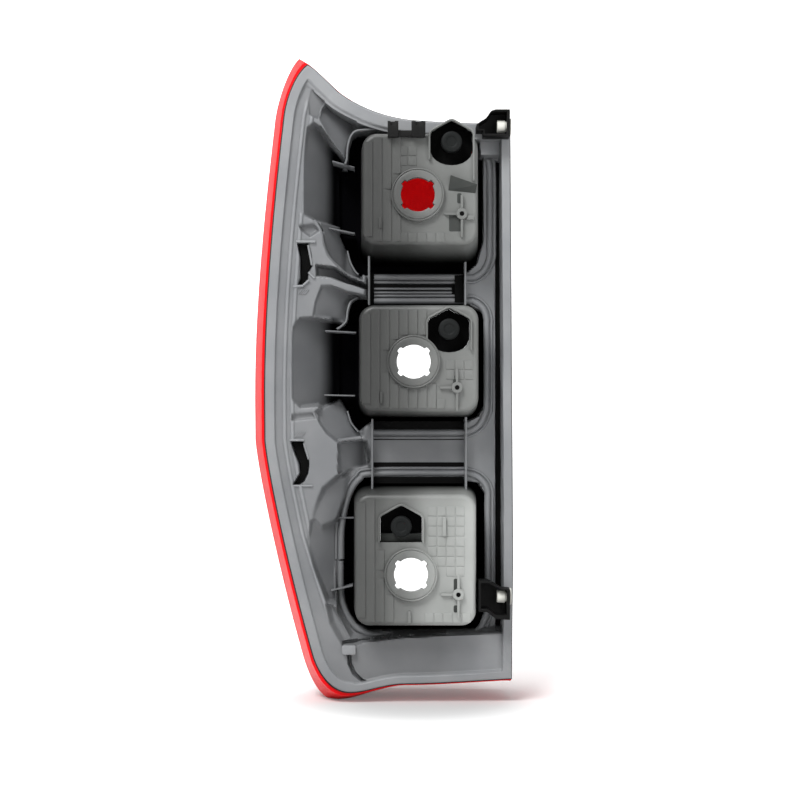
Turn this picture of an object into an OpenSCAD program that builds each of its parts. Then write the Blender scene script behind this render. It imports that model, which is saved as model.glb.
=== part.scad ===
/* [Outline] */
// Width of the housing flange at its widest point
body_w = 173.5; // [172:0.5:184]
// Rise of the pointed tip over the upper fixing
tip_rise = 44.4; // [40:0.2:50]
// Distance from the inboard edge to the pointed tip
tip_reach = 143.7; // [140:0.2:147]
// Distance of the inboard edge past the upper fixing
edge_past = 2; // [1:0.5:4]
// Rise of the straight top edge over the upper fixing
top_rise = 4; // [3:0.5:6]
// Drop from the lower edge of the lower chamber to the bottom edge
bottom_drop = 42.5; // [40:0.5:52]
// How far the lens stands out past the flange on the outboard side
lens_swell = 7.5; // [4:0.5:10]

/* [Depths] */
// Distance of the fixing axis behind the flange
fixing_stand = 8; // [7.5:0.5:10]
// Height of the chamber faces over the flange
chamber_stand = 16; // [12:0.5:20]
// Depth of the floor under the flange
floor_depth = 18; // [16:0.5:22]
// Depth of the bottom of the wells under the flange
well_depth = 38; // [36:0.5:42]
// Depth of the lens from the flange to its front
lens_depth = 66; // [62:0.5:74]

/* [Walls] */
// Wall of the housing
wall = 2.5; // [2:0.1:3]
// Wall of the reflectors
bowl_wall = 2; // [1.6:0.1:2.6]
// Wall of the lens
lens_wall = 2.8; // [2.2:0.1:3.4]
// Thickness of the gusset and tie ribs
rib = 1.4; // [1:0.1:2]
// Width of the flat flange
flange_w = 6.3; // [6:0.1:8]
// Thickness of the lens seal
seal_t = 1; // [0.6:0.1:1.6]

/* [Chambers] */
// Height of the upper chamber's face
upper_h = 77.4; // [72:0.2:80]
// Height of the middle chamber's face
middle_h = 74; // [68:0.2:76]
// Height of the lower chamber's face
lower_h = 91.2; // [84:0.2:94]
// Width of the upper chamber's face
upper_w = 80; // [74:0.2:81]
// Width of the middle chamber's face
middle_w = 82; // [76:0.2:83]
// Width of the lower chamber's face
lower_w = 83.6; // [78:0.2:84]
// Gap from the upper chamber's face to the middle one's
upper_gap = 41.4; // [40:0.2:46]
// Gap from the middle chamber's face to the lower one's
lower_gap = 56.6; // [52:0.2:62]
// Corner radius of the chamber faces
face_r = 10; // [8:0.5:13]
// Width of the well between a chamber and its bead ring
well_gap = 4.6; // [4:0.2:6]
// Width of the deep well on the outboard side of the middle chamber
well_side = 13.5; // [12:0.5:15]
// Depth of the bays beside the chambers where they meet the wells
bay_depth = 34; // [28:0.5:36]
// Width of a bead ring
bead_w = 5.6; // [4.8:0.2:6.4]
// Height of a bead ring
bead_h = 2; // [1:0.1:3]

/* [Face pattern] */
// Pitch of the flutes and of the squares on the faces
flute_pitch = 6.5; // [5.5:0.1:7.5]
// Height of the flutes and squares over the faces
flute_h = 0.5; // [0.3:0.1:0.9]

/* [Bulb seats] */
// Radius of the bulb bores
bulb_r = 11.7; // [11:0.1:12.5]
// Outer radius of the bulb collars
collar_r = 18.4; // [17:0.1:20]
// Height of the bulb collars over the faces
collar_h = 3.6; // [2:0.1:6]
// Width of a bayonet notch
notch_w = 3.8; // [3:0.1:3.9]
// Reach of a bayonet notch past the bore
notch_reach = 1.8; // [1:0.1:2.4]

/* [Vents] */
// Outer radius of a vent cap
cap_r = 7.3; // [6.6:0.1:8]
// Radius of the vent tube under a cap
vent_r = 4.8; // [4:0.1:5.2]
// Radius of the bore in a vent tube
vent_bore_r = 2.6; // [2:0.1:3.2]
// Half width of a vent pocket
pocket_half = 14.6; // [13:0.1:15.5]
// Depth of a vent pocket under the face
pocket_depth = 13; // [10:0.5:13.5]
// Height of the pocket walls over the face
pocket_rise = 3; // [1.5:0.1:4.5]

/* [Screw bosses] */
// Outer radius of a screw boss
boss_r = 3.9; // [3.4:0.1:4.5]
// Radius of the hole in a screw boss
boss_hole_r = 1.5; // [1:0.1:1.8]
// Height of a screw boss over the face
boss_h = 3.4; // [2:0.1:5]

/* [Fixings] */
// Radius of the bore in a fixing grommet
fixing_r = 3.1; // [2.6:0.1:3.3]
// Outer radius of a grommet body
grommet_r = 4.4; // [4.1:0.1:5]
// Length of a grommet body inside its bracket
grommet_len = 5.6; // [4:0.1:8]
// Distance between the two fixings
fixing_pitch = 326.5; // [322:0.5:330]
// Wall of a fixing bracket
bracket_wall = 2; // [1.6:0.1:2.5]
// Height of a fixing bracket over the flange
bracket_depth = 16; // [15:0.5:18]

/* [Locating slots] */
// Width of a locating slot
slot_w = 9; // [7:0.5:11]
// Height of a locating slot
slot_h = 29; // [24:0.5:34]
// Depth of the pocket behind a locating slot
slot_depth = 16; // [12:0.5:20]

/* [Hidden] */
$fn = 48;

grey = [0.47, 0.48, 0.49];
bowl_grey = [0.5, 0.53, 0.5];
fit = 0.1;
gap = 0.4;
lens_clear = 1.4;
eps = 0.02;

rim_y = fixing_stand;
face_y = rim_y - chamber_stand;
floor_front = rim_y + floor_depth;
well_front = rim_y + well_depth;
lens_front = rim_y + lens_depth;
seat_y = well_front + wall;
right_x = edge_past;
left_x = right_x - body_w;

// Each chamber face as [left, right, bottom, top], from the top chamber down
upper_top = -5.6;
middle_top = upper_top - upper_h - upper_gap;
lower_top = middle_top - middle_h - lower_gap;
lower_bottom = lower_top - lower_h;
faces = [
    [-23.2 - upper_w, -23.2, upper_top - upper_h, upper_top],
    [-22.7 - middle_w, -22.7, middle_top - middle_h, middle_top],
    [-24.5 - lower_w, -24.5, lower_bottom, lower_top]
];
// Draft of each chamber as [left, right, bottom, top] from its face to its seat
drafts = [[3, 3, 12, 0.5], [3, 1.5, 6, 2], [3, 3, 1.5, 6]];
bases = [for (k = [0 : 2]) grow(faces[k], drafts[k])];
top_gaps = [1.2, well_gap, well_gap];
well_left_x = bases[1][0] - well_side;
wells = [for (k = [0 : 2]) grow(bases[k], [bases[k][0] - well_left_x, well_gap, well_gap, top_gaps[k]])];
mouths = [for (k = [0 : 2]) grow(bases[k], [5, 5, 5, k == 0 ? 1.5 : 5])];

// Bulb bores, vents and screw bosses as [x, z], from the top chamber down
function in_face(k, in_x, down) = [faces[k][1] - in_x, faces[k][3] - down];
function over_foot(k, in_x, up) = [faces[k][1] - in_x, faces[k][2] + up];
bulbs = [in_face(0, 41.5, 42.7), in_face(1, 44.8, 39.1), in_face(2, 44.9, 55.6)];
vents = [in_face(0, 18.2, 6.1), in_face(1, 20.4, 16.6), in_face(2, 51.7, 22.4)];
bosses = [over_foot(0, 11.1, 21.5), over_foot(1, 14.9, 17), over_foot(2, 12.2, 21.9)];

bottom_z = lower_bottom - bottom_drop;
panel_z = lower_bottom - 8.8;

// Knots of the outline from the top inboard corner round to the left, each as
// [place, inward direction, handle before, handle after, steps, share of the lens swell]
tip = [right_x - tip_reach, tip_rise];
knots = [
    [[right_x - 2, top_rise], [-1, -1], [0, 0], [-24, -1], 4, [0.05, 0.05]],
    [[right_x - 71, top_rise + 2], [-0.12, -1], [18, -1.5], [-20, 2], 5, [0, 0.25]],
    [[tip[0] + 22.1, top_rise + 21], [-0.62, -0.78], [12, -9], [-8, 7], 4, [0.2, 0.27]],
    [tip, [0.3, -1.3], [5, -1.6], [-7, -5], 5, [-0.82, 1.04]],
    [[mix(tip[0], left_x, 0.547), tip_rise - 36.1], [0.99, -0.13], [2, 16], [-5, -44], 9, [-0.95, 0.12]],
    [[left_x, middle_top - 61.6], [1, 0], [0, 74], [0, -12], 2, [-1.05, 0]],
    [[left_x + 0.2, middle_top - 93.6], [1, 0.05], [0, 12], [2, -22], 8, [-1.05, -0.05]],
    [[left_x + 33.7, bottom_z + 20], [0.95, 0.3], [-18, 64], [4, -13], 4, [-0.8, -0.3]],
    [[left_x + 59.5, bottom_z - 6], [0, 1], [-13, 0], [13, 0], 4, [-0.85, -0.95]],
    [[right_x - 74, bottom_z], [0, 1], [-17, 0], [20, 0], 2, [0, -0.6]],
    [[right_x - 1, bottom_z + 3.5], [-1, 1], [-20, -1], [0, 0], 1, [0.05, -0.6]],
    [[right_x, lower_top - 46], [-1, 0], [0, 0], [0, 0], 1, [0.05, 0]]
];
knot_count = len(knots);
tip_knot = 3;
left_end = 8;
foot_knot = 10;

function grow(box, by) = [box[0] - by[0], box[1] + by[1], box[2] - by[2], box[3] + by[3]];
function clamp(v) = max(0, min(1, v));
function smooth(v) = let (c = clamp(v)) c * c * (3 - 2 * c);
function mix(a, b, v) = a * (1 - v) + b * v;

// Place of a knot moved inward by d, and outward by its share of the swell
function knot(k, d, swell) =
    let (m = knots[k % knot_count]) m[0] + m[1] * d + m[5] * swell;

// Point at v, from 0 to 1, on the stretch of the outline that starts at knot k
function on_curve(k, v, d, swell) =
    let (
        a = knot(k, d, swell),
        b = knot(k + 1, d, swell),
        out = knots[k % knot_count][3],
        back = knots[(k + 1) % knot_count][2]
    )
    a * pow(1 - v, 3) + 3 * (a + out) * v * pow(1 - v, 2)
    + 3 * (b + back) * v * v * (1 - v) + b * pow(v, 3);

// Closed outline of the lamp, counter-clockwise as seen from behind
function outline(d, swell = 0) = [
    for (k = [0 : knot_count - 1])
        let (steps = knots[k][4])
        for (i = [0 : steps - 1]) on_curve(k, i / steps, d, swell)
];

// Corner points of a rounded box given as [left, right, bottom, top]
function rounded(box, r, steps = 6) = [
    for (c = [[1, 3, 0], [0, 3, 90], [0, 2, 180], [1, 2, 270]])
        for (i = [0 : steps])
            let (a = c[2] + 90 * i / steps)
            [
                box[c[0]] + (c[0] == 1 ? -r : r) + r * cos(a),
                box[c[1]] + (c[1] == 3 ? -r : r) + r * sin(a)
            ]
];

// A flat outline at depth y, as points in space
function at_depth(points, y) = [for (p = points) [p[0], y, p[1]]];

// Extrudes a flat outline, drawn as [x, z], from depth y0 to depth y1
module slab(y0, y1) {
    translate([0, y1, 0]) rotate([90, 0, 0]) linear_extrude(height = y1 - y0) children();
}

// Cylinder along the depth from y0 to y1
module pin(place, y0, y1, r) {
    translate([place[0], y1, place[1]]) rotate([90, 0, 0]) cylinder(h = y1 - y0, r = r);
}

// Plate given by its box as [left, right, bottom, top] between two depths
module plate(box, y0, y1) {
    translate([box[0], y0, box[2]]) cube([box[1] - box[0], y1 - y0, box[3] - box[2]]);
}

// Ring between two flat outlines
module band(outer, inner) {
    difference() {
        polygon(outer);
        polygon(inner);
    }
}

// Solid through rings of equal count, from the back ring to the front one
module loft(rings) {
    n = len(rings[0]);
    sides = [
        for (k = [0 : len(rings) - 2])
            for (i = [0 : n - 1])
                let (a = k * n + i, b = k * n + (i + 1) % n)
                each [[a, b, b + n], [a, b + n, a + n]]
    ];
    back = [for (i = [n - 1 : -1 : 0]) i];
    front = [for (i = [0 : n - 1]) (len(rings) - 1) * n + i];
    polyhedron([for (r = rings) each r], concat(sides, [back], [front]));
}

// Closed skin between two grids of points, given in rows from the top down
module skin(back, front) {
    rows = len(back);
    cols = len(back[0]);
    total = rows * cols;
    cells = [
        for (i = [0 : rows - 2])
            for (j = [0 : cols - 2])
                let (a = i * cols + j, b = a + 1, c = b + cols, d = a + cols)
                each [
                    [a, b, c], [a, c, d],
                    [total + a, total + c, total + b], [total + a, total + d, total + c]
                ]
    ];
    lines = [
        for (j = [0 : cols - 2])
            let (a = j, z = (rows - 1) * cols + j)
            each [
                [a, total + a, total + a + 1], [a, total + a + 1, a + 1],
                [z + 1, total + z + 1, total + z], [z + 1, total + z, z]
            ]
    ];
    ends = [
        for (i = [0 : rows - 2])
            let (a = i * cols, b = a + cols, c = a + cols - 1, d = c + cols)
            each [
                [total + b, total + a, a], [total + b, a, b],
                [d, c, total + c], [d, total + c, total + d]
            ]
    ];
    points = concat([for (r = back) each r], [for (r = front) each r]);
    polyhedron(points, concat(cells, lines, ends));
}

/* The outboard wall is one surface under the flange. Two ridges run down its
   edge. Each form inside them is an outline with its own depth, given as
   [outline, place, depth there, other place, depth there, softness]. */
function beside(k, points) = [for (p = points) [left_x + p[0], faces[k][3] + p[1]]];
function by_tip(points) = [for (p = points) tip + p];
function by_foot(points) = [for (p = points) [left_x + p[0], lower_bottom + p[1]]];
function level(path, depth, soft) = [path, [0, 0], depth, [1, 0], depth, soft];
function ramp(path, x0, d0, x1, d1, soft) =
    [path, [left_x + x0, 0], d0, [left_x + x1, 0], d1, soft];
function slant(path, ends, d0, d1, soft) = [path, ends[0], d0, ends[1], d1, soft];

floor_edge = concat(
    beside(0, [[47.2, -16.4], [56.4, 3.4], [75, 5.5]]),
    by_foot([[75, -13.2], [60.6, -13.2], [50.7, 6.6], [47.9, 43.3]]),
    beside(2, [[47.2, -19.7], [50.7, 9.9], [57.8, 15.6], [71.9, 21.2], [70.5, 36.8]]),
    beside(1, [[52.2, -93.8], [45.1, 5], [70.5, 7.1]]),
    beside(0, [[70.5, -96.9], [55.7, -87], [47.2, -65.8]])
);
tip_recess = by_tip([
    [0.5, -25.5], [1.9, -17.7], [6.5, -11.4], [16, -21.9], [12.5, -24.8], [9.6, -29.7],
    [7.5, -36.8], [1.2, -34.3]
]);
channel = beside(0, [
    [47.9, 27.7], [52.9, 22.1], [59.2, 16.1], [71.5, 10.6], [71.5, 5.5], [63.4, 5.5],
    [59.2, 1.2], [56.4, -17.1], [49.3, -13.6], [41.6, 6.2], [37.7, 12.5], [39.4, 20.3], [43.7, 25.2]
]);
upper_bay = beside(0, [
    [29.9, 6.9], [34.5, 9.4], [38.7, 6.9], [47.2, -5.1], [55.7, -16.4], [52.9, -71.5], [45.1, -73.6],
    [38.7, -63.7], [33.8, -57], [24.3, -53.1], [24.3, -43.2], [27.1, -15]
]);
middle_bay = beside(1, [
    [19.3, -14.1], [24.6, -8.4], [33.8, -8.1], [52.2, -11.3], [52.9, -62.1], [45.1, -74.1], [36.6, -69.1],
    [24.6, -70.5], [18.6, -64.9], [17.9, -30.3]
]);
lower_bay = beside(2, [
    [40.2, -14.8], [47.9, -9.1], [49.3, -47.9], [49.3, -79], [43.7, -76.2], [34.5, -52.2], [29.6, -33.8],
    [32.4, -19.7]
]);
upper_flank = beside(0, [
    [35.2, -58.1], [39.8, -65.1], [41.2, -75], [44.7, -83.5], [51.4, -90.5], [58.5, -96.2], [67.7, -99.7],
    [67.7, -71.5], [52.9, -60.9]
]);
valley = beside(1, [
    [35.6, 29], [47.9, 27.6], [58.5, 20.5], [70.5, 15.6], [70.5, 12.7], [56.4, 17], [45.8, 20.9], [35.9, 21.6]
]);
knee = beside(1, [
    [39.4, 14.5], [47.2, 14.2], [56.4, 10.6], [69.1, 7.5], [59.2, 2.9], [57.1, -2.8], [56.4, -10.5],
    [33.4, -6.7], [35.2, 3.6]
]);
lower_flank = beside(1, [
    [35.2, -73.4], [38, -81.8], [43, -88.9], [50.7, -94.9], [67.7, -91], [70.5, -65.6], [52.2, -64.2]
]);
side_panel = beside(2, [[51.4, 34.6], [55.7, 35.7], [70.5, 36.1], [70.5, 19.1], [60.6, 16.3], [51.4, 12.4]]);
slot_hollow = beside(0, [[23.9, -62.3], [33.8, -61.2], [37.7, -65.1], [31.3, -69.3], [25.3, -65.1]]);
shoulder = beside(2, [
    [50.7, 8.5], [56.4, 9.9], [55.7, -4.2], [50.7, -19.7], [47.2, -16.9], [44.4, -19.7], [47.6, -5.6], [50, 1.5]
]);
facet = beside(2, [
    [37, -7.7], [45.8, -13.3], [39.4, -26.8], [30.3, -17.6], [26.7, -19.7], [23.9, -9.1], [32.4, -3.5]
]);
low_ground = by_foot([
    [47.9, 12.2], [50.7, 6.6], [60.6, -10.4], [74.7, -13.2], [74.7, -17.4], [63.4, -20.3], [55, -15.3],
    [46.5, -0.5], [43.7, 12.2]
]);
well_in = well_left_x - left_x - 0.8;
forms = [
    level(floor_edge, floor_depth + 0.3, 4),
    slant(tip_recess, by_tip([[0.5, -22.6], [13.2, -25.5]]), 2.6, 7.5, 3),
    slant(channel, beside(0, [[39.4, 10.4], [56.4, 18.9]]), 3, 23, 4),
    ramp(upper_bay, 26.7, 2.2, well_in, bay_depth, 5),
    ramp(middle_bay, 18.3, 2.2, well_in, bay_depth, 5),
    ramp(lower_bay, 31, 3.4, well_in, 17, 5),
    ramp(upper_flank, 38.7, 3.5, 55.7, 25, 5),
    ramp(valley, 32.4, 13, 59.2, 24, 4),
    slant(knee, beside(1, [[35.9, 5], [59.2, 0.7]]), 4.2, 21, 4),
    level(slot_hollow, 6, 4),
    slant(lower_flank, beside(1, [[36.6, -83.2], [60.6, -71.2]]), 4, 25, 5),
    ramp(side_panel, 50.7, 8, 67.7, 24, 4),
    ramp(shoulder, 47.9, 7, 56.4, 14, 4),
    level(facet, 3.6, 3),
    level(low_ground, 8, 5)
];

// Distance from p to the edge between a and b
function to_edge(p, a, b) = let (e = b - a) norm(p - a - e * clamp((p - a) * e / (e * e)));
function is_right_of(p, a, b) =
    (a[1] > p[1]) != (b[1] > p[1]) && p[0] < a[0] + (p[1] - a[1]) * (b[0] - a[0]) / (b[1] - a[1]);

// Distance from p to a closed outline, positive inside it
function inside(p, path) =
    let (
        last = len(path) - 1,
        near = min([for (i = [0 : last]) to_edge(p, path[i], path[(i + 1) % (last + 1)])]),
        crossed = len([for (i = [0 : last]) if (is_right_of(p, path[i], path[(i + 1) % (last + 1)])) i])
    )
    crossed % 2 == 1 ? near : -near;

// Depth under the flange at p after the forms from number n on are laid over v
function laid(p, v, n = 0) =
    n == len(forms) ? v
    : let (
        f = forms[n],
        along = f[3] - f[1],
        share = smooth(inside(p, f[0]) / f[5] + 0.5),
        depth = mix(f[2], f[4], clamp((p - f[1]) * along / (along * along)))
    )
    laid(p, mix(v, depth, share), n + 1);

// Two ridges beside the outboard edge, as [distance from the edge, height]
ridges = [[13.4, 1.5], [18.8, 1.4]];
ridge_half = 1.6;
shelf = 2.3;
function ridge_rise(d, z) =
    max([for (r = ridges) r[1] * turn(ridge_half - abs(d - r[0]), ridge_half)]) * smooth((22 - z) / 10);

// The top edge has a second step inside its flange
top_line = [for (k = [0 : 2]) for (i = [0 : 3]) on_curve(k, i / 4, 0, 0)];
function under_top(p) =
    p[1] < -16 ? 99 : min([for (i = [0 : len(top_line) - 2]) to_edge(p, top_line[i], top_line[i + 1])]);

// Depth of the wall's back face at p, at distance d from the outboard edge
function wall_depth(p, d) =
    let (
        t = under_top(p),
        step = 0.7 * smooth((t - 8.2) / 0.7) + smooth((t - 11.3) / 1),
        edge = (shelf - ridge_rise(d, p[1])) * smooth((d - flange_w) / 0.9),
        flat = min(edge, shelf * step),
        share = smooth((min(d, t) - flange_w + 0.3) / 0.8)
    )
    rim_y + max(0.3, t < 11.3 ? min(flat, laid(p, edge)) : mix(flat, laid(p, edge), share));

// Columns stand at fixed distances from the edge up to the ridges, then spread
// Rows start at shares of the outline's stretches, about evenly spaced.
wall_steps = [6, 38, 6, 27, 4];
wall_marks = [
    for (k = [0 : 4]) for (i = [0 : wall_steps[k] - 1]) [tip_knot + k, (i + 0.05) / wall_steps[k]],
    [left_end - 1, 0.98]
];
wall_cols = [0, 1.6, 6.2, 8.1, 10.4, 13.5, 15.4, 20, 25.5, 31.5, 38, 44, 50, 58];
spread_from = 15.4;
spread_to = 58;
crest_y = rim_y + 1.6;
function wall_row(mark) =
    let (
        start = on_curve(mark[0], mark[1], flange_w - 1, 0),
        share = (start[1] - tip[1]) / (bottom_z - tip[1]),
        end = [bases[1][0] - 0.5, mix(top_rise + 6, bottom_z + 8, share)],
        length = norm(end - start)
    )
    [
        for (c = wall_cols)
            let (
                far = spread_from + (c - spread_from) * (length - spread_from) / (spread_to - spread_from),
                p = start + (end - start) / length * (c < spread_from ? c : far)
            )
            [p[0], wall_depth(p, c < spread_from ? c + flange_w - 1 : 99), p[1]]
    ];

// Front face: a wall's thickness under the back, and under its deeper neighbours
function wall_front(back, i, j) =
    let (
        rows = [max(0, i - 1) : min(len(back) - 1, i + 1)],
        cols = [max(0, j - 1) : min(len(wall_cols) - 1, j + 1)],
        deepest = max([for (r = rows) for (c = cols) back[r][c][1]])
    )
    max(back[i][j][1] + wall * 1.25, deepest + wall / 2);

module outboard_wall() {
    back = [for (mark = wall_marks) wall_row(mark)];
    front = [
        for (i = [0 : len(back) - 1]) [
            for (j = [0 : len(wall_cols) - 1]) [back[i][j][0], wall_front(back, i, j), back[i][j][2]]
        ]
    ];
    skin(back, front);
}

// Second step along the top edge, inside its flange
module top_step() {
    intersection() {
        slab(rim_y + 1.2, rim_y + 1.2 + wall) band(outline(flange_w - 1), outline(11));
        plate([tip[0] + 4, right_x - 60, top_rise - 8, tip_rise], rim_y, floor_front);
    }
}

// Outline of a deep well: narrow at its ends and wide between its gussets
gusset_z = [-25, -70.5, middle_top - 17.5, middle_top - 62, lower_top - 18, lower_top - 67];
module well_shape(k, by) {
    narrow = [left_x + 57.4, wells[k][1], wells[k][2], wells[k][3]];
    wide = [well_left_x, bases[k][1] - 10, gusset_z[2 * k + 1] - 8, gusset_z[2 * k] + 2];
    polygon(rounded(grow(narrow, [by, by, by, by]), 8 + by));
    polygon(rounded(grow(wide, [by, by, by, by]), 4 + by));
}

// Block that a well is cut from, lower where it meets a deep bay
module well_block(k) {
    difference() {
        slab(floor_front + 0.8, seat_y) well_shape(k, wall);
        if (k < 2) {
            low = gusset_z[2 * k + 1] - 6;
            high = gusset_z[2 * k] + rib / 2;
            plate([well_left_x - wall - 1, well_left_x + 1, low, high], floor_front - 1, rim_y + bay_depth - 4);
        }
    }
}

// Hollow of a well and the opening in its bottom
module well_cut(k) {
    slab(rim_y - 5, well_front) well_shape(k, 0);
    slab(well_front - 1, seat_y + 1) polygon(rounded(grow(bases[k], [gap, gap, gap, gap]), face_r));
}

// Double bead on the floor round a well
module bead_ring(k) {
    each_w = bead_w / 2 - 0.3;
    for (n = [0 : 1]) {
        inner = n * (each_w + 0.6);
        a = grow(wells[k], [inner, inner, inner, inner]);
        b = grow(a, [each_w, each_w, each_w, each_w]);
        round_by = 11 + inner;
        start_x = k < 2 ? bases[k][0] + 2 : left_x;
        intersection() {
            slab(floor_front - bead_h, floor_front + eps)
                band(rounded(b, round_by + each_w), rounded(a, round_by));
            plate([start_x, right_x, bottom_z, top_rise - flange_w], rim_y, floor_front + wall);
        }
    }
}

// Irregular opening of a locating slot, centred on [x, z]
module slot_shape(place, grow_by) {
    w = slot_w / 2 + grow_by;
    h = slot_h / 2 + grow_by;
    translate(place) polygon([
        [-w, h], [-w * 0.7, h * 0.3], [-w * 0.5, -h * 0.6], [-w * 0.9, -h],
        [w * 0.2, -h], [w * 0.8, -h * 0.72], [w * 0.8, -h * 0.3], [w, -h * 0.1],
        [w * 0.95, h * 0.4], [w * 0.6, h]
    ]);
}
slots = [[left_x + 28, middle_top + 32.7], [left_x + 25, middle_top - 108.3]];

module slot_pocket(k) {
    box = [slots[k][0] - slot_w / 2 - 2, slots[k][0] + slot_w / 2 + 2,
        slots[k][1] - slot_h / 2 - 2, slots[k][1] + slot_h / 2 + 2];
    plate(box, crest_y + 1, crest_y + slot_depth + rib);
}

// Flange, the wall inside it and the flat floor
module rim_and_floor() {
    inner = lens_wall + lens_clear;
    slab(rim_y, rim_y + wall) band(outline(0), outline(flange_w));
    slab(rim_y, floor_front + wall) band(outline(inner), outline(flange_w));
    under_chambers = [bases[1][0] - 4, right_x, bottom_z - 20, tip_rise];
    intersection() {
        slab(floor_front, floor_front + wall) polygon(outline(inner + 1));
        plate(under_chambers, floor_front - 1, floor_front + wall + 1);
    }
}

// Wells, groove, slots and the hollow under the lower panel
module housing_cuts() {
    for (k = [0 : 2]) well_cut(k);
    inboard_groove(0, rim_y);
    slab(rim_y + panel_sink + wall, floor_front + wall + 1) polygon(panel_inner);
    for (k = [0 : 1]) slab(rim_y - 5, crest_y + slot_depth) slot_shape(slots[k], 0);
}

module housing() {
    color(grey) {
        difference() {
            union() {
                union() {
                    rim_and_floor();
                    for (k = [0 : 2]) bead_ring(k);
                    for (k = [0 : 1]) slot_pocket(k);
                    inboard_groove(wall - 1, floor_front + 0.6);
                }
                union() {
                    outboard_wall();
                    top_step();
                }
                union() {
                    for (k = [0 : 2]) well_block(k);
                    slab(rim_y + panel_sink, floor_front + wall - 0.3) polygon(panel_points);
                }
            }
            housing_cuts();
        }
        union() {
            gussets();
            tie_ribs();
            bracket_posts();
            bracket_shelf();
            slot_bars();
        }
    }
}

// Two ribs that carry the lower bracket over the floor
module bracket_posts() {
    for (z = [-fixing_pitch - 8, -fixing_pitch + 6])
        plate([-14, right_x - 4, z, z + 2], rim_y, floor_front + 1);
}

// Dark groove between the floor and the inboard flange, or the channel round it
module inboard_groove(by, y0) {
    depth = rim_y + 24;
    box = [right_x - 10.9, right_x - 7.2, lower_bottom - 5.5, upper_top - 15];
    plate(grow(box, [by, by, by, by]), y0, depth + by);
}

// Step under the upper bracket
module bracket_shelf() {
    box = [wells[0][1] - 2, right_x - 5, upper_top - 12.2, top_rise - flange_w + 1];
    plate(box, rim_y + 9, rim_y + 9 + wall);
    plate([box[0] + 2 + eps, box[1], box[2] - wall, box[2] + eps], rim_y + 9, floor_front + 1);
}

// Light bars over and under each locating slot
module slot_bars() {
    for (k = [0 : 1]) {
        at = slots[k];
        top = at[1] + slot_h / 2;
        foot = at[1] - slot_h / 2;
        plate([at[0] - 6.5, at[0] + 6.5, top, top + 1.8], rim_y + 0.8, rim_y + 6);
        plate([at[0] - 7, at[0] + 4, foot - 3, foot - 1.4], rim_y + 0.8, rim_y + 6);
    }
}

// Thin ribs across the wells from the outboard wall towards the chambers
module gussets() {
    for (n = [0 : 5]) {
        k = floor(n / 2);
        start = well_left_x - 4;
        end = bases[k][0] - 2.5;
        translate([0, 0, gusset_z[n]]) linear_extrude(height = rib) polygon([
            [start, floor_front], [start + 2, rim_y + 7], [end, rim_y + 9], [end, seat_y - 1],
            [well_left_x - 1, seat_y - 1], [start, rim_y + bay_depth]
        ]);
    }
}

// Thin upright ribs that tie the wells of two chambers
module tie_ribs() {
    for (k = [0 : 1]) {
        low = wells[k + 1][3] - 1;
        high = wells[k][2] + 1;
        for (x = [faces[k][0] + 6, faces[k][1] - 8])
            plate([x, x + rib, low, high], rim_y - 6, floor_front + 1);
    }
}

// Raised flat panel between the lower chamber and the bottom edge
panel_points = [
    [right_x - 6, panel_z + 2.6], [left_x + 89.5, panel_z], [left_x + 71.5, panel_z - 2],
    [left_x + 64.7, panel_z - 8], [left_x + 64.7, panel_z - 18], [left_x + 71.5, bottom_z + 6.7],
    [left_x + 79.5, bottom_z + 4.7], [right_x - 6, bottom_z + 7.9]
];
panel_inner = [for (p = panel_points) mix(p, [right_x - 57, panel_z - 15], 0.06)];
panel_sink = 4;

// Vent pocket outline round a vent, house shaped with a pointed roof
module pocket_shape(k, grow_by) {
    w = pocket_half + grow_by;
    translate(vents[k]) {
        polygon([[0, 14 + grow_by], [-w, 6], [-w, -5], [w, -5], [w, 6]]);
        translate([0, -1]) circle(r = w - 1.4);
    }
}

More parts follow.
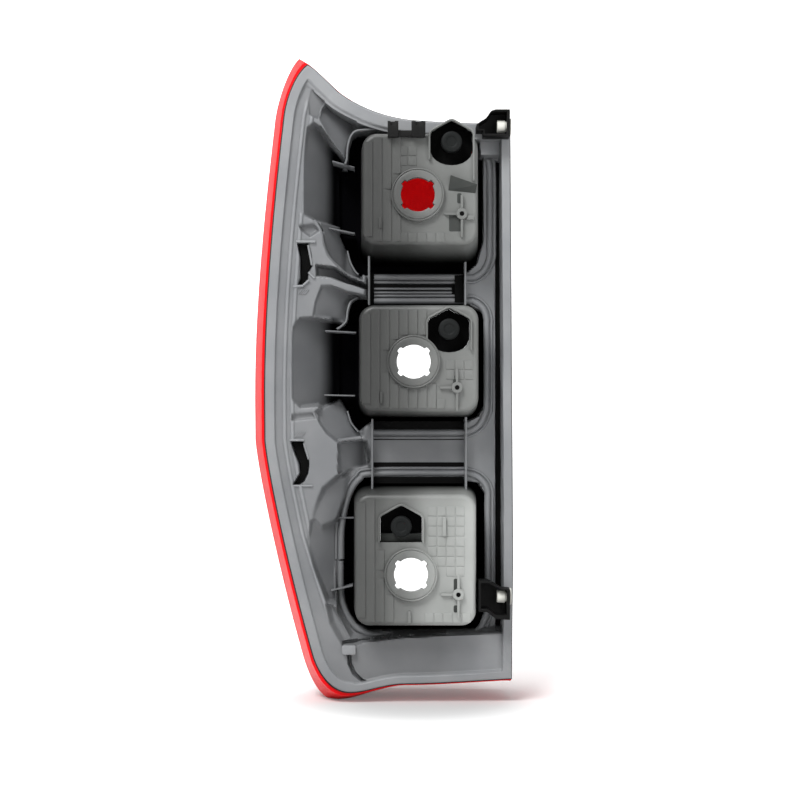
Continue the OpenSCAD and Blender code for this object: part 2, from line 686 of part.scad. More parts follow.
/* A reflector is a drafted bowl. Its back face carries the bulb collar,
   the vent pocket, a screw boss and small tabs, and its mouth has a flange. */
module reflector(k) {
    face = faces[k];
    base = bases[k];
    edge = 3;
    outer = [
        at_depth(rounded(grow(face, [-edge, -edge, -edge, -edge]), face_r - edge), face_y),
        at_depth(rounded(grow(face, [-1, -1, -1, -1]), face_r - 1), face_y + 0.9),
        at_depth(rounded(face, face_r), face_y + edge),
        at_depth(rounded(base, face_r), seat_y + eps)
    ];
    inset = [-bowl_wall, -bowl_wall, -bowl_wall, -bowl_wall];
    inner = [
        at_depth(rounded(grow(face, 2.5 * inset), face_r - bowl_wall - 2), face_y + bowl_wall),
        at_depth(rounded(grow(face, 1.3 * inset), face_r - bowl_wall), face_y + bowl_wall + 3),
        at_depth(rounded(grow(base, inset), face_r - bowl_wall), seat_y + bowl_wall + 1)
    ];
    pocket_floor = face_y + pocket_depth;
    color(bowl_grey) difference() {
        union() {
            difference() {
                union() {
                    loft(outer);
                    slab(seat_y, seat_y + bowl_wall) polygon(rounded(mouths[k], face_r));
                }
                loft(inner);
            }
            slab(face_y + 1, pocket_floor + bowl_wall) pocket_shape(k, bowl_wall);
            slab(face_y - pocket_rise, face_y + 4) intersection() {
                pocket_shape(k, rib);
                translate([vents[k][0] - 30, vents[k][1] - 12]) square([60, 40]);
            }
            pin(bulbs[k], face_y - collar_h, face_y + bowl_wall, collar_r);
            boss_with_ribs(k);
            small_tabs(k);
            flutes(k);
            squares(k);
        }
        slab(face_y - pocket_rise - 1, pocket_floor) pocket_shape(k, 0);
        pin(bulbs[k], face_y - collar_h - 1, face_y + bowl_wall + 4, bulb_r);
        notch = [0, bulb_r + notch_reach, -notch_w / 2, notch_w / 2];
        for (a = [40, 140, 220, 320])
            translate([bulbs[k][0], 0, bulbs[k][1]]) rotate([0, a, 0])
                plate(notch, face_y - collar_h - 1, face_y + bowl_wall + 4);
        pin(bosses[k], face_y - boss_h - 1, face_y + 1, boss_hole_r);
        pin(vents[k], face_y - 1, pocket_floor + bowl_wall + 1, vent_bore_r);
    }
    color(bowl_grey) vent_tube(k, pocket_floor);
}

// Upright flutes along the outboard side of a face
module flutes(k) {
    f = faces[k];
    for (n = [0 : 3]) {
        x = f[0] + 1.8 + n * flute_pitch;
        inset = n == 0 ? face_r * 0.6 : 3;
        plate([x, x + flute_pitch - 1.2, f[2] + inset, f[3] - inset], face_y - flute_h, face_y + 1);
    }
}

/* Fields of squares on the faces, each as [first column from the inboard side,
   columns, first row from the foot, rows] in pitches. */
square_fields = [
    [[0.6, 8, 0.5, 2]],
    [[0.6, 8, 0.5, 2]],
    [[0.6, 4, 5.5, 7], [0.6, 5, 0.5, 1]]
];
module squares(k) {
    side = flute_pitch - 0.8;
    for (f = square_fields[k]) {
        for (i = [0 : f[1] - 1]) {
            for (j = [0 : f[3] - 1]) {
                p = over_foot(k, (f[0] + i + 1) * flute_pitch, (f[2] + j) * flute_pitch);
                plate([p[0], p[0] + side, p[1], p[1] + side], face_y - flute_h * 0.6, face_y + 1);
            }
        }
    }
}

// Tube that a vent cap sits on, standing on the floor of its pocket
module vent_tube(k, pocket_floor) {
    difference() {
        pin(vents[k], face_y, pocket_floor + 1, vent_r);
        pin(vents[k], face_y - 1, pocket_floor + bowl_wall + 1, vent_bore_r);
    }
}

module boss_with_ribs(k) {
    p = bosses[k];
    pin(p, face_y - boss_h, face_y + 1, boss_r);
    half = rib / 2;
    plate([p[0] - half, p[0] + half, p[1] - 16, p[1] + 13], face_y - boss_h + 0.6, face_y + 1);
    plate([p[0] - 12, p[0], p[1] - half, p[1] + half], face_y - boss_h + 1.2, face_y + 1);
}

// Small tabs on each chamber face as [left, right, bottom, top]
function tab(place, w, h) = [place[0], place[0] + w, place[1], place[1] + h];
tabs = [
    [tab(over_foot(0, 68.3, 11.4), 1.9, 7.5), tab(over_foot(0, 7.8, 17.4), 5, 3)],
    [tab(over_foot(1, 68.1, 6), 1.8, 8)],
    [tab(in_face(2, 23.1, 29), 2.6, 13), tab(over_foot(2, 47, 2.2), 2, 8)]
];
module small_tabs(k) {
    for (box = tabs[k]) plate(box, face_y - 2, face_y + 1);
    if (k == 0) {
        plate(clip_seat, face_y - 1, face_y + 9);
        translate([faces[0][1] - 18.8, face_y - 1.6, upper_top - 33]) rotate([0, 14, 0]) cube([17, 2.6, 5]);
    }
}

clip_seat = [faces[0][1] - 61.3, faces[0][1] - 37.3, upper_top - 3, upper_top + 2];
module harness_clip() {
    y0 = face_y - 6;
    y1 = face_y - 1;
    left = clip_seat[0] - 1;
    right = clip_seat[1] + 1;
    color([0.05, 0.05, 0.055]) {
        plate([left, right, clip_seat[2], clip_seat[3] - 0.5], y1 - 2, y1);
        difference() {
            union() {
                plate([left, left + 7.4, clip_seat[2] - 0.5, clip_seat[3] + 5.6], y0, y1);
                plate([right - 9.6, right, clip_seat[2] - 0.5, clip_seat[3] + 5.6], y0, y1);
            }
            plate([left + 2, left + 5, clip_seat[3] + 2.6, clip_seat[3] + 7], y0 - 1, y1 - 2);
            plate([right - 6.6, right - 3, clip_seat[3] + 2.6, clip_seat[3] + 7], y0 - 1, y1 - 2);
        }
    }
}

module vent_cap(k) {
    color([0.1, 0.1, 0.105]) difference() {
        union() {
            pin(vents[k], face_y - 2, face_y + 6, cap_r);
            pin(vents[k], face_y - 2.6, face_y - 2 + eps, cap_r - 1);
        }
        pin(vents[k], face_y, face_y + 7, vent_r + fit);
    }
}

/* The lens is a deep shell: its edge meets the seal, it swells outward on the
   outboard side and turns over into the front face with a large radius. */
lens_rows = [
    0, 0, 0.06, 0.2, 0.5, 1, 1.12, 1.3, 1.5, 1.7, 1.9, 2.2, 2.6, 3, 3.2, 3.4, 3.6, 3.8,
    4, 4.25, 4.5, 4.75, 4.9, 5, 5
];
lens_cols = [0, 0, 0.012, 0.04, 0.085, 0.15, 0.22, 0.3, 0.4, 0.5, 0.65, 0.8, 0.93, 0.98, 1, 1];
lens_edge_y = rim_y + wall + seal_t;
lens_wide_y = rim_y + 22;

// Point of the lens grid in the flat, by blending the four edges of the outline
function lens_place(s, v, d, swell) =
    let (
        k = min(floor(v), 4),
        left = on_curve(tip_knot + k, v - k, d, swell),
        tip_in = knot(tip_knot, d, swell),
        low_in = knot(left_end, d, swell),
        foot = knot(foot_knot, d, swell),
        head = knot(0, d, swell),
        t = (left[1] - tip_in[1]) / (low_in[1] - tip_in[1]),
        right = mix(head, foot, t),
        top = s < 0.33 ? on_curve(2, 1 - s / 0.33, d, swell)
            : s < 0.66 ? on_curve(1, 1 - (s - 0.33) / 0.33, d, swell)
            : on_curve(0, 1 - (s - 0.66) / 0.34, d, swell),
        bottom = s < 0.4 ? on_curve(left_end, s / 0.4, d, swell)
            : on_curve(left_end + 1, (s - 0.4) / 0.6, d, swell)
    )
    mix(left, right, s) + mix(top, bottom, t)
    - mix(mix(tip_in, head, s), mix(low_in, foot, s), t);

// Quarter round from 0 at an edge to 1 at distance r from it
function turn(d, r) = sqrt(max(0, 1 - pow(1 - clamp(d / r), 2)));

// Depth of the lens face at a place of its grid
function lens_level(s, v, front) =
    let (
        side = turn(s * body_w, 52) * turn((1 - s) * body_w, 9),
        ends = turn(v < 1 ? v * 33 : 100, 18) * turn(v > 4 ? (5 - v) * 30 : 100, 18)
    )
    mix(lens_wide_y, front - 6 * s * s, side * ends);

function lens_grid(d, front, edge_y) = [
    for (i = [0 : len(lens_rows) - 1]) [
        for (j = [0 : len(lens_cols) - 1])
            let (
                v = lens_rows[i],
                s = lens_cols[j],
                border = i == 0 || j == 0 || i == len(lens_rows) - 1 || j == len(lens_cols) - 1,
                p = lens_place(s, v, d, border ? lens_swell * 0.35 : lens_swell)
            )
            [p[0], border ? edge_y : lens_level(s, v, front), p[1]]
    ]
];

module lens_shell() {
    inside_grid = lens_grid(lens_wall, lens_front - lens_wall, lens_edge_y);
    skin(inside_grid, lens_grid(0, lens_front, lens_edge_y));
}

// Window that a clear section of the lens fills
module lens_window(k) {
    slab(lens_wide_y + 4, lens_front + 10) polygon(rounded(grow(bases[k], [8, 8, 6, 6]), face_r));
}

module red_lens() {
    color([0.8, 0.03, 0.04]) difference() {
        lens_shell();
        lens_window(1);
        lens_window(2);
    }
}

module clear_lens(k) {
    color([0.9, 0.92, 0.93, 0.5]) intersection() {
        lens_shell();
        lens_window(k);
    }
}

module lens_seal() {
    color([0.06, 0.06, 0.06]) slab(rim_y + wall, lens_edge_y) band(outline(-0.5, 0.5), outline(2.6));
}

bezel_y = seat_y + bowl_wall;
module inner_bezel() {
    color([0.75, 0.76, 0.77]) difference() {
        union() {
            slab(bezel_y, bezel_y + 2) polygon(outline(11));
            slab(bezel_y + 1, bezel_y + 6) band(outline(11), outline(13));
        }
        for (k = [0 : 2])
            slab(bezel_y - 8, bezel_y + 3) polygon(rounded(grow(bases[k], [-2, -2, -2, -2]), face_r - 2));
    }
}

module reflex_reflector() {
    box = [left_x + 31.5, left_x + 55.5, upper_top - 92, upper_top - 22];
    color([0.7, 0.02, 0.03]) slab(bezel_y + 2, bezel_y + 6) polygon(rounded(box, 4));
}

/* A fixing bracket is a channel open to the back. Its side plate carries a
   grommet whose bore runs across the lamp. */
head_t = 1.2;
side_x = 0.3 - head_t;
module bracket(z, roof) {
    y0 = rim_y - bracket_depth;
    color([0.04, 0.04, 0.045]) translate([0, 0, z]) difference() {
        slab(y0, y0 + bracket_depth) polygon(roof);
        slab(y0 - 1, y0 + bracket_depth - bracket_wall) polygon([
            for (p = roof) mix(p, [-14, 2], 0.17)
        ]);
        translate([side_x - 10, 0, 0]) rotate([0, 90, 0]) cylinder(h = 20, r = grommet_r - 0.7 + fit);
    }
}

upper_roof = [
    [side_x, 11], [-11, 11], [-14, 10], [-17.5, 5], [-21.5, 2.5], [-24.2, 0.5], [-24.2, -3.8],
    [-19.4, -3.8], [-19.4, -7.5], [side_x, -7.5]
];
lower_roof = [
    [side_x, 5.5], [-6.5, 6], [-16, 11.5], [-22.6, 11.5], [-22.6, -10], [-17, -10], [-10.5, -15],
    [side_x, -15.5]
];

module grommet(z) {
    hole = grommet_r - 0.7;
    color([0.85, 0.85, 0.8]) translate([0, 0, z]) difference() {
        union() {
            translate([side_x - 3 - grommet_len, 0, 0])
                rotate([0, 90, 0]) cylinder(h = grommet_len, r = grommet_r);
            translate([side_x - 3 - eps, 0, 0]) rotate([0, 90, 0]) cylinder(h = 3 + 2 * eps, r = hole);
            translate([side_x, 0, 0]) rotate([0, 90, 0]) cylinder(h = head_t, r = grommet_r + 1.4);
        }
        translate([side_x - 12, 0, 0]) rotate([0, 90, 0]) cylinder(h = 20, r = fixing_r);
    }
}

housing();
reflector(0);  // reflector_upper
reflector(1);  // reflector_middle
reflector(2);  // reflector_lower
inner_bezel();
red_lens();
clear_lens(1);  // middle_clear_lens
clear_lens(2);  // lower_clear_lens
lens_seal();
reflex_reflector();
vent_cap(0);  // vent_cap_upper
vent_cap(1);  // vent_cap_middle
vent_cap(2);  // vent_cap_lower
harness_clip();
bracket(0, upper_roof);  // upper_bracket
bracket(-fixing_pitch, lower_roof);  // lower_bracket
grommet(0);  // upper_grommet
grommet(-fixing_pitch);  // lower_grommet
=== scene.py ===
"""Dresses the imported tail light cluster: fine meshes, plastics, lens optics, studio and camera.

Lengths in this file are millimetres in the part's own frame: X runs towards the inboard edge,
Y from the mounting side to the lens and Z up, with the origin on the axis of the upper fixing.
"""
import logging
import math
from dataclasses import dataclass, field
from enum import Enum
from typing import Callable, Sequence

import bpy
import numpy as np
from mathutils import Matrix, Vector


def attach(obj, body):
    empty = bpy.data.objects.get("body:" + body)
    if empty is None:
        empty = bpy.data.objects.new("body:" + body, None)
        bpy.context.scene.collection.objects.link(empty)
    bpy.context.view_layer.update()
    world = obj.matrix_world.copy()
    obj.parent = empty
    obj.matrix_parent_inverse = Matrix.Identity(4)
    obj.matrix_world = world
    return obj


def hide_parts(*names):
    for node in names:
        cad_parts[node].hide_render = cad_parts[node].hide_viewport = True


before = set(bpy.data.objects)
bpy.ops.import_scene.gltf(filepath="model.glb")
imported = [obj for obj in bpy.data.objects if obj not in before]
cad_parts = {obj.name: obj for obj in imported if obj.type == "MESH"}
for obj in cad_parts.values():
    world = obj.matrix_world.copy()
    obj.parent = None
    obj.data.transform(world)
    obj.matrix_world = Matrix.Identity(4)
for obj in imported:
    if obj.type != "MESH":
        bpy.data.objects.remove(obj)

logging.basicConfig(level=logging.INFO, format="%(message)s")
log = logging.getLogger("tail_light")

MM = 0.001
Array = np.ndarray
Thing = bpy.types.Object
Socket = bpy.types.NodeSocket
Pair = tuple[float, float]
Triple = tuple[float, float, float]
Box = tuple[float, float, float, float]
Path = Sequence[Pair]


class Chamber(Enum):
    """The three bulb chambers, from the top down."""

    UPPER = 0
    MIDDLE = 1
    LOWER = 2


@dataclass(frozen=True)
class ChamberPlan:
    """Sizes of one chamber. Boxes are left, right, bottom and top."""

    node: str
    face: Box
    base: Box
    bulb: Pair
    vent: Pair
    boss: Pair
    wall_legs: Pair
    flutes: int
    pad_areas: tuple[Box, ...]


PLANS: dict[Chamber, ChamberPlan] = {
    Chamber.UPPER: ChamberPlan(
        "reflector_upper", (-103.2, -23.2, -83.0, -5.6), (-106.2, -20.2, -95.0, -5.1),
        (-64.7, -48.3), (-41.4, -11.7), (-34.3, -61.5), (12.4, 27.0), 4,
        ((-78, -40, -81, -70), (-54, -42, -48, -34), (-78, -64, -70, -12)),
    ),
    Chamber.MIDDLE: ChamberPlan(
        "reflector_middle", (-104.7, -22.7, -198.4, -124.4), (-107.7, -21.2, -204.4, -122.4),
        (-67.5, -163.5), (-43.1, -141.0), (-37.6, -181.4), (9.0, 14.6), 8,
        ((-52, -26, -176, -156), (-52, -40, -196, -184)),
    ),
    Chamber.LOWER: ChamberPlan(
        "reflector_lower", (-108.1, -24.5, -346.2, -255.0), (-111.1, -21.5, -347.7, -249.0),
        (-69.4, -310.6), (-76.2, -277.4), (-36.7, -324.3), (11.0, 11.0), 4,
        ((-58, -28, -312, -259), (-60, -28, -344, -334)),
    ),
}


@dataclass(frozen=True)
class Depths:
    """Places along Y, equal to the part's own."""

    rim: float = 8.0
    face: float = -8.0
    floor: float = 26.0
    seat: float = 48.5
    lens_front: float = 74.0
    lens_edge: float = 11.5
    lens_wide: float = 30.0
    wall: float = 2.5
    lens_wall: float = 2.8
    lens_swell: float = 7.5
    width: float = 173.5


D = Depths()
FLANGE = 6.3
BOTTOM = -388.7


@dataclass(frozen=True)
class Knot:
    """A knot of the outline: place, inward direction, handles before and after, share of the swell."""

    place: Pair
    inward: Pair
    before: Pair
    after: Pair
    share: Pair

    def at(self, depth: float, swell: float) -> Array:
        """Returns the place moved inward by depth and outward by its share of the swell."""
        return np.array(self.place) + np.array(self.inward) * depth + np.array(self.share) * swell


class Outline:
    """The lamp's outline from the top inboard corner round to the left."""

    TIP, LEFT_END, FOOT = 3, 8, 10

    def __init__(self) -> None:
        low = BOTTOM
        self.knots = [
            Knot((0, 4), (-1, -1), (0, 0), (-24, -1), (0.05, 0.05)),
            Knot((-69, 6), (-0.12, -1), (18, -1.5), (-20, 2), (0, 0.25)),
            Knot((-119.6, 25), (-0.62, -0.78), (12, -9), (-8, 7), (0.2, 0.27)),
            Knot((-141.7, 44.4), (0.3, -1.3), (5, -1.6), (-7, -5), (-0.82, 1.04)),
            Knot((-158, 8.3), (0.99, -0.13), (2, 16), (-5, -44), (-0.95, 0.12)),
            Knot((-171.5, -186), (1, 0), (0, 74), (0, -12), (-1.05, 0)),
            Knot((-171.3, -218), (1, 0.05), (0, 12), (2, -22), (-1.05, -0.05)),
            Knot((-137.8, low + 20), (0.95, 0.3), (-18, 64), (4, -13), (-1.0, -0.4)),
            Knot((-112, low - 6), (0, 1), (-13, 0), (13, 0), (-1.2, -1.1)),
            Knot((-72, low), (0, 1), (-17, 0), (20, 0), (0, -0.6)),
            Knot((1, low + 3.5), (-1, 1), (-20, -1), (0, 0), (0.05, -0.6)),
            Knot((2, -301), (-1, 0), (0, 0), (0, 0), (0.05, 0)),
        ]

    def on_curve(self, k: int, v: Array, depth: float = 0.0, swell: float = 0.0) -> Array:
        """Points on the stretch that starts at knot k.

        Args:
            k: Number of the knot.
            v: Shares along the stretch, from 0 to 1.
            depth: Distance inward.
            swell: Distance outward, before the knot's share.

        Returns:
            One row of x and z for each share.
        """
        n = len(self.knots)
        first, last = self.knots[k % n], self.knots[(k + 1) % n]
        a, b = first.at(depth, swell), last.at(depth, swell)
        v = np.asarray(v, float)[..., None]
        u = 1 - v
        return (a * u**3 + 3 * (a + first.after) * v * u**2
                + 3 * (b + last.before) * v**2 * u + b * v**3)

    def chain(self, start: int, count: int, steps: int, depth: float = 0.0, swell: float = 0.0) -> Array:
        """Returns the points of several stretches in a row, ends included."""
        parts = [self.on_curve(start + i, np.arange(steps) / steps, depth, swell) for i in range(count)]
        parts.append(self.knots[(start + count) % len(self.knots)].at(depth, swell)[None])
        return np.vstack(parts)

    def closed(self, depth: float = 0.0, swell: float = 0.0, steps: int = 26) -> Array:
        """Returns the whole outline without its last point repeated."""
        return self.chain(0, len(self.knots), steps, depth, swell)[:-1]

    def left(self, v: Array, depth: float, swell: float) -> Array:
        """Returns points on the outboard side for shares from 0 at the tip to 5 at its foot.

        Args:
            v: Shares, one for each place.
            depth: Distance inward.
            swell: Distance outward.

        Returns:
            Rows of x and z.
        """
        v = np.asarray(v, float)
        out = np.zeros(v.shape + (2,))
        for k in range(5):
            here = (v >= k) if k == 4 else (v >= k) & (v < k + 1)
            out[here] = self.on_curve(self.TIP + k, v[here] - k, depth, swell)
        return out

    def top(self, s: Array, depth: float, swell: float) -> Array:
        """Returns points on the top edge from the tip to the inboard corner."""
        out = np.where((s < 0.33)[..., None], self.on_curve(2, 1 - s / 0.33, depth, swell), 0.0)
        mid = (s >= 0.33) & (s < 0.66)
        out = np.where(mid[..., None], self.on_curve(1, 1 - (s - 0.33) / 0.33, depth, swell), out)
        return np.where((s >= 0.66)[..., None], self.on_curve(0, 1 - (s - 0.66) / 0.34, depth, swell), out)

    def bottom(self, s: Array, depth: float, swell: float) -> Array:
        """Returns points on the bottom edge from its outboard end to the inboard corner."""
        first = self.on_curve(self.LEFT_END, s / 0.4, depth, swell)
        rest = self.on_curve(self.LEFT_END + 1, (s - 0.4) / 0.6, depth, swell)
        return np.where((s < 0.4)[..., None], first, rest)

    def patch(self, s: Array, v: Array, depth: float = 0.0, swell: float = 0.0, bulge: bool = False) -> Array:
        """Blends the four edges into a grid.

        Args:
            s: Shares from the outboard side to the inboard one.
            v: Shares down the outboard side, from 0 to 5.
            depth: Distance inward.
            swell: Distance outward.
            bulge: True to follow the slight bend of the inboard edge.

        Returns:
            x and z of each place.
        """
        tip, head = self.knots[self.TIP].at(depth, swell), self.knots[0].at(depth, swell)
        low, foot = self.knots[self.LEFT_END].at(depth, swell), self.knots[self.FOOT].at(depth, swell)
        left = self.left(v, depth, swell)
        t = ((left[..., 1] - tip[1]) / (low[1] - tip[1]))[..., None]
        s = np.asarray(s, float)
        mid = s[..., None]
        right = head * (1 - t) + foot * t
        if bulge:
            bend = np.interp(-right[..., 1], [-head[1], 301, -foot[1]], [head[0], 2.0, foot[0]])
            right = np.stack([bend, right[..., 1]], -1)
        across = left * (1 - mid) + right * mid
        along = self.top(s, depth, swell) * (1 - t) + self.bottom(s, depth, swell) * t
        corners = (tip * (1 - mid) + head * mid) * (1 - t) + (low * (1 - mid) + foot * mid) * t
        return across + along - corners

    def even_shares(self, step: float) -> Array:
        """Returns shares down the outboard side that lie about one step of height apart."""
        fine = np.linspace(0, 5, 2001)
        points = self.left(fine, 0.0, 0.0)
        length = np.concatenate([[0], np.cumsum(np.hypot(*np.diff(points, axis=0).T))])
        return np.interp(np.linspace(0, length[-1], int(length[-1] / step)), length, fine)


OUTLINE = Outline()


def smooth(v: Array) -> Array:
    """Returns a soft step from 0 to 1."""
    c = np.clip(v, 0, 1)
    return c * c * (3 - 2 * c)


def turn(distance: Array, radius: float) -> Array:
    """Returns a quarter round from 0 at an edge to 1 at the radius."""
    return np.sqrt(np.maximum(0, 1 - (1 - np.clip(distance / radius, 0, 1)) ** 2))


def distance_to(path: Array, x: Array, z: Array, closed: bool = False) -> Array:
    """Returns the distance of each place to a path.

    Args:
        path: Points of the path.
        x: Places along X, as a grid.
        z: Places along Z, as a grid of the same shape.
        closed: True where the path returns to its start.

    Returns:
        The distance of each place.
    """
    points = np.asarray(path, float)
    ends = np.roll(points, -1, axis=0) if closed else points[1:]
    starts = points if closed else points[:-1]
    best = np.full(x.shape, 1e9)
    for (ax, az), (bx, bz) in zip(starts, ends):
        ex, ez = bx - ax, bz - az
        h = np.clip(((x - ax) * ex + (z - az) * ez) / max(ex * ex + ez * ez, 1e-9), 0, 1)
        best = np.minimum(best, np.hypot(x - ax - ex * h, z - az - ez * h))
    return best


def inside(path: Path, x: Array, z: Array) -> Array:
    """Returns the distance to a closed outline, positive inside it.

    Args:
        path: Corners of the outline.
        x: Places along X, as a grid.
        z: Places along Z, as a grid of the same shape.

    Returns:
        The distances, negative outside.
    """
    points = np.asarray(path, float)
    best = distance_to(points, x, z, closed=True)
    odd = np.zeros(x.shape, bool)
    for (ax, az), (bx, bz) in zip(points, np.roll(points, -1, axis=0)):
        if az != bz:
            crosses = (az > z) != (bz > z)
            odd ^= crosses & (x < ax + (z - az) * (bx - ax) / (bz - az))
    return np.where(odd, best, -best)


def through(path: Path, steps: int = 8) -> Array:
    """Returns a smooth curve through the given points.

    Args:
        path: Points that it goes through.
        steps: Count of pieces between two points.

    Returns:
        Rows of x and z.
    """
    p = np.asarray(path, float)
    p = np.vstack([2 * p[0] - p[1], p, 2 * p[-1] - p[-2]])
    out = []
    for a, b, c, d in zip(p, p[1:], p[2:], p[3:]):
        for u in np.arange(steps) / steps:
            out.append(0.5 * (2 * b + (c - a) * u + (2 * a - 5 * b + 4 * c - d) * u**2
                              + (3 * b - a - 3 * c + d) * u**3))
    out.append(p[-2])
    return np.array(out)


def half_round(half: float, height: float, step: int, offset: float = 0.0, lift: float = 0.0) -> list[Pair]:
    """Returns the profile of a rounded top, from its left foot to its right one."""
    angles = [math.radians(a) for a in range(180, -1, -step)]
    return [(offset + half * math.cos(a), lift - height * math.sin(a)) for a in angles]


def with_middle(a: Pair, b: Pair) -> list[Pair]:
    """Returns two places with their middle between them."""
    return [a, ((a[0] + b[0]) / 2, (a[1] + b[1]) / 2), b]


def quads(rows: int, cols: int) -> Array:
    """Returns the corner numbers of each cell of a grid of points."""
    number = np.arange(rows * cols).reshape(rows, cols)
    return np.stack([number[:-1, :-1], number[:-1, 1:], number[1:, 1:], number[1:, :-1]], -1)


def rounded(box: Box, radius: float, steps: int = 10) -> Array:
    """Returns the outline of a box with rounded corners, counter-clockwise from behind.

    Args:
        box: Left, right, bottom and top.
        radius: Radius of the corners.
        steps: How finely each corner is divided.

    Returns:
        Rows of x and z.
    """
    points = []
    for right, up, start in ((1, 1, 0), (0, 1, 90), (0, 0, 180), (1, 0, 270)):
        cx = box[1] - radius if right else box[0] + radius
        cz = box[3] - radius if up else box[2] + radius
        for i in range(steps + 1):
            a = math.radians(start + 90 * i / steps)
            points.append((cx + radius * math.cos(a), cz + radius * math.sin(a)))
    return np.array(points)


def grow(box: Box, by: float | Sequence[float]) -> Box:
    """Returns a box grown by one distance, or by one for each side."""
    g = [by] * 4 if isinstance(by, (int, float)) else list(by)
    return (box[0] - g[0], box[1] + g[1], box[2] - g[2], box[3] + g[3])


def mesh_object(name: str, points: Array, faces: Sequence[Sequence[int]], angle: float = 35.0) -> Thing:
    """Makes an object from millimetre points.

    Args:
        name: Name of the piece.
        points: Rows of x, y and z in millimetres.
        faces: Corner numbers of each face.
        angle: Edges sharper than this many degrees stay sharp.

    Returns:
        The object, linked to the scene.
    """
    mesh = bpy.data.meshes.new(name)
    mesh.from_pydata((np.asarray(points, float) * MM).tolist(), [], [list(map(int, f)) for f in faces])
    mesh.validate()
    mesh.shade_smooth()
    mesh.set_sharp_from_angle(angle=math.radians(angle))
    made = bpy.data.objects.new(name, mesh)
    bpy.context.scene.collection.objects.link(made)
    return made


def at_depth(path: Array, y: float | Array) -> Array:
    """Returns a flat path as points in space at a depth."""
    level = np.broadcast_to(np.asarray(y, float), (len(path),))
    return np.column_stack([path[:, 0], level, path[:, 1]])


def join(name: str, parts: Sequence[Thing]) -> Thing:
    """Joins several objects into the first, under a new name.

    Args:
        name: Name of the joined piece.
        parts: Objects to join.

    Returns:
        The first object.
    """
    base = parts[0]
    with bpy.context.temp_override(active_object=base, object=base, selected_editable_objects=list(parts),
                                   selected_objects=list(parts)):
        bpy.ops.object.join()
    base.name = name
    base.data.name = name
    return base


def loft(name: str, rings: Sequence[Array], capped: bool = True, angle: float = 35.0) -> Thing:
    """Makes a skin through rings of equal count, with flat ends or open.

    Args:
        name: Name of the piece.
        rings: Rows of x, y and z of each ring, in order.
        capped: True for flat ends.
        angle: Edges sharper than this many degrees stay sharp.

    Returns:
        The object.
    """
    n = len(rings[0])
    faces: list[Sequence[int]] = []
    for k in range(len(rings) - 1):
        for i in range(n):
            a, b = k * n + i, k * n + (i + 1) % n
            faces.append((a, b, b + n, a + n))
    if capped:
        faces.append(tuple(range(n - 1, -1, -1)))
        faces.append(tuple(range((len(rings) - 1) * n, len(rings) * n)))
    return mesh_object(name, np.vstack(rings), faces, angle)


def sweep(name: str, path: Array, level: float | Array, profile: Sequence[Pair],
          angle: float = 35.0) -> Thing:
    """Sweeps a profile along a flat path.

    Args:
        name: Name of the piece.
        path: Rows of x and z.
        level: Depth of the profile's origin, one for all or one for each point.
        profile: Pairs of offset to the right of the path and depth past the level.
        angle: Edges sharper than this stay sharp.

    Returns:
        The swept object.
    """
    ahead = np.roll(path, -1, axis=0) - np.roll(path, 1, axis=0)
    ahead[0], ahead[-1] = path[1] - path[0], path[-1] - path[-2]
    ahead = ahead / np.maximum(np.hypot(*ahead.T)[:, None], 1e-9)
    side = np.column_stack([ahead[:, 1], -ahead[:, 0]])
    depth = np.broadcast_to(np.asarray(level, float), (len(path),))
    m, n = len(profile), len(path)
    points = np.zeros((n, m, 3))
    for j, (offset, dy) in enumerate(profile):
        flat = path + side * offset
        points[:, j] = np.column_stack([flat[:, 0], depth + dy, flat[:, 1]])
    faces: list[Sequence[int]] = []
    for i in range(n - 1):
        for j in range(m - 1):
            a, b = i * m + j, (i + 1) * m + j
            faces.append((a, a + 1, b + 1, b))
    faces.append(tuple(range(m - 1, -1, -1)))
    faces.append(tuple(range((n - 1) * m, n * m)))
    return mesh_object(name, points.reshape(-1, 3), faces, angle)


def revolve(name: str, profile: Sequence[Pair], centre: Triple,
            axis: str = "Y", steps: int = 64, angle: float = 35.0) -> Thing:
    """Turns a profile of radius and height round an axis through a centre.

    Args:
        name: Name of the piece.
        profile: Pairs of radius and height.
        centre: Place of the profile's origin.
        axis: Y or X, the axis it turns round.
        steps: Count of steps round.
        angle: Edges sharper than this many degrees stay sharp.

    Returns:
        The object.
    """
    m = len(profile)
    points = []
    for i in range(steps):
        a = 2 * math.pi * i / steps
        for radius, along in profile:
            u, w = radius * math.cos(a), radius * math.sin(a)
            spot = (u, along, w) if axis == "Y" else (along, u, w)
            points.append([centre[k] + spot[k] for k in range(3)])
    faces = []
    for i in range(steps):
        for j in range(m - 1):
            a, b = i * m + j, ((i + 1) % steps) * m + j
            faces.append((a, b, b + 1, a + 1) if axis == "Y" else (a, a + 1, b + 1, b))
    return mesh_object(name, np.array(points), faces, angle)


def slab(name: str, outline: Array, y0: float, y1: float, round_by: float = 0.0) -> Thing:
    """Makes a plate from a flat outline between two depths, with its back edge rounded.

    Args:
        name: Name of the piece.
        outline: Rows of x and z.
        y0: Depth of its back.
        y1: Depth of its other face.
        round_by: Radius of the rounding of its back edge.

    Returns:
        The object.
    """
    centre = outline.mean(axis=0)
    rings = []
    if round_by > 0:
        for i in range(4):
            a = math.radians(30 * i)
            away = outline - centre
            length = np.maximum(np.hypot(*away.T)[:, None], 1e-6)
            rings.append(at_depth(outline - away / length * round_by * (1 - math.sin(a)),
                                  y0 + round_by * (1 - math.cos(a))))
    else:
        rings.append(at_depth(outline, y0))
    rings.append(at_depth(outline, y1))
    return loft(name, rings)


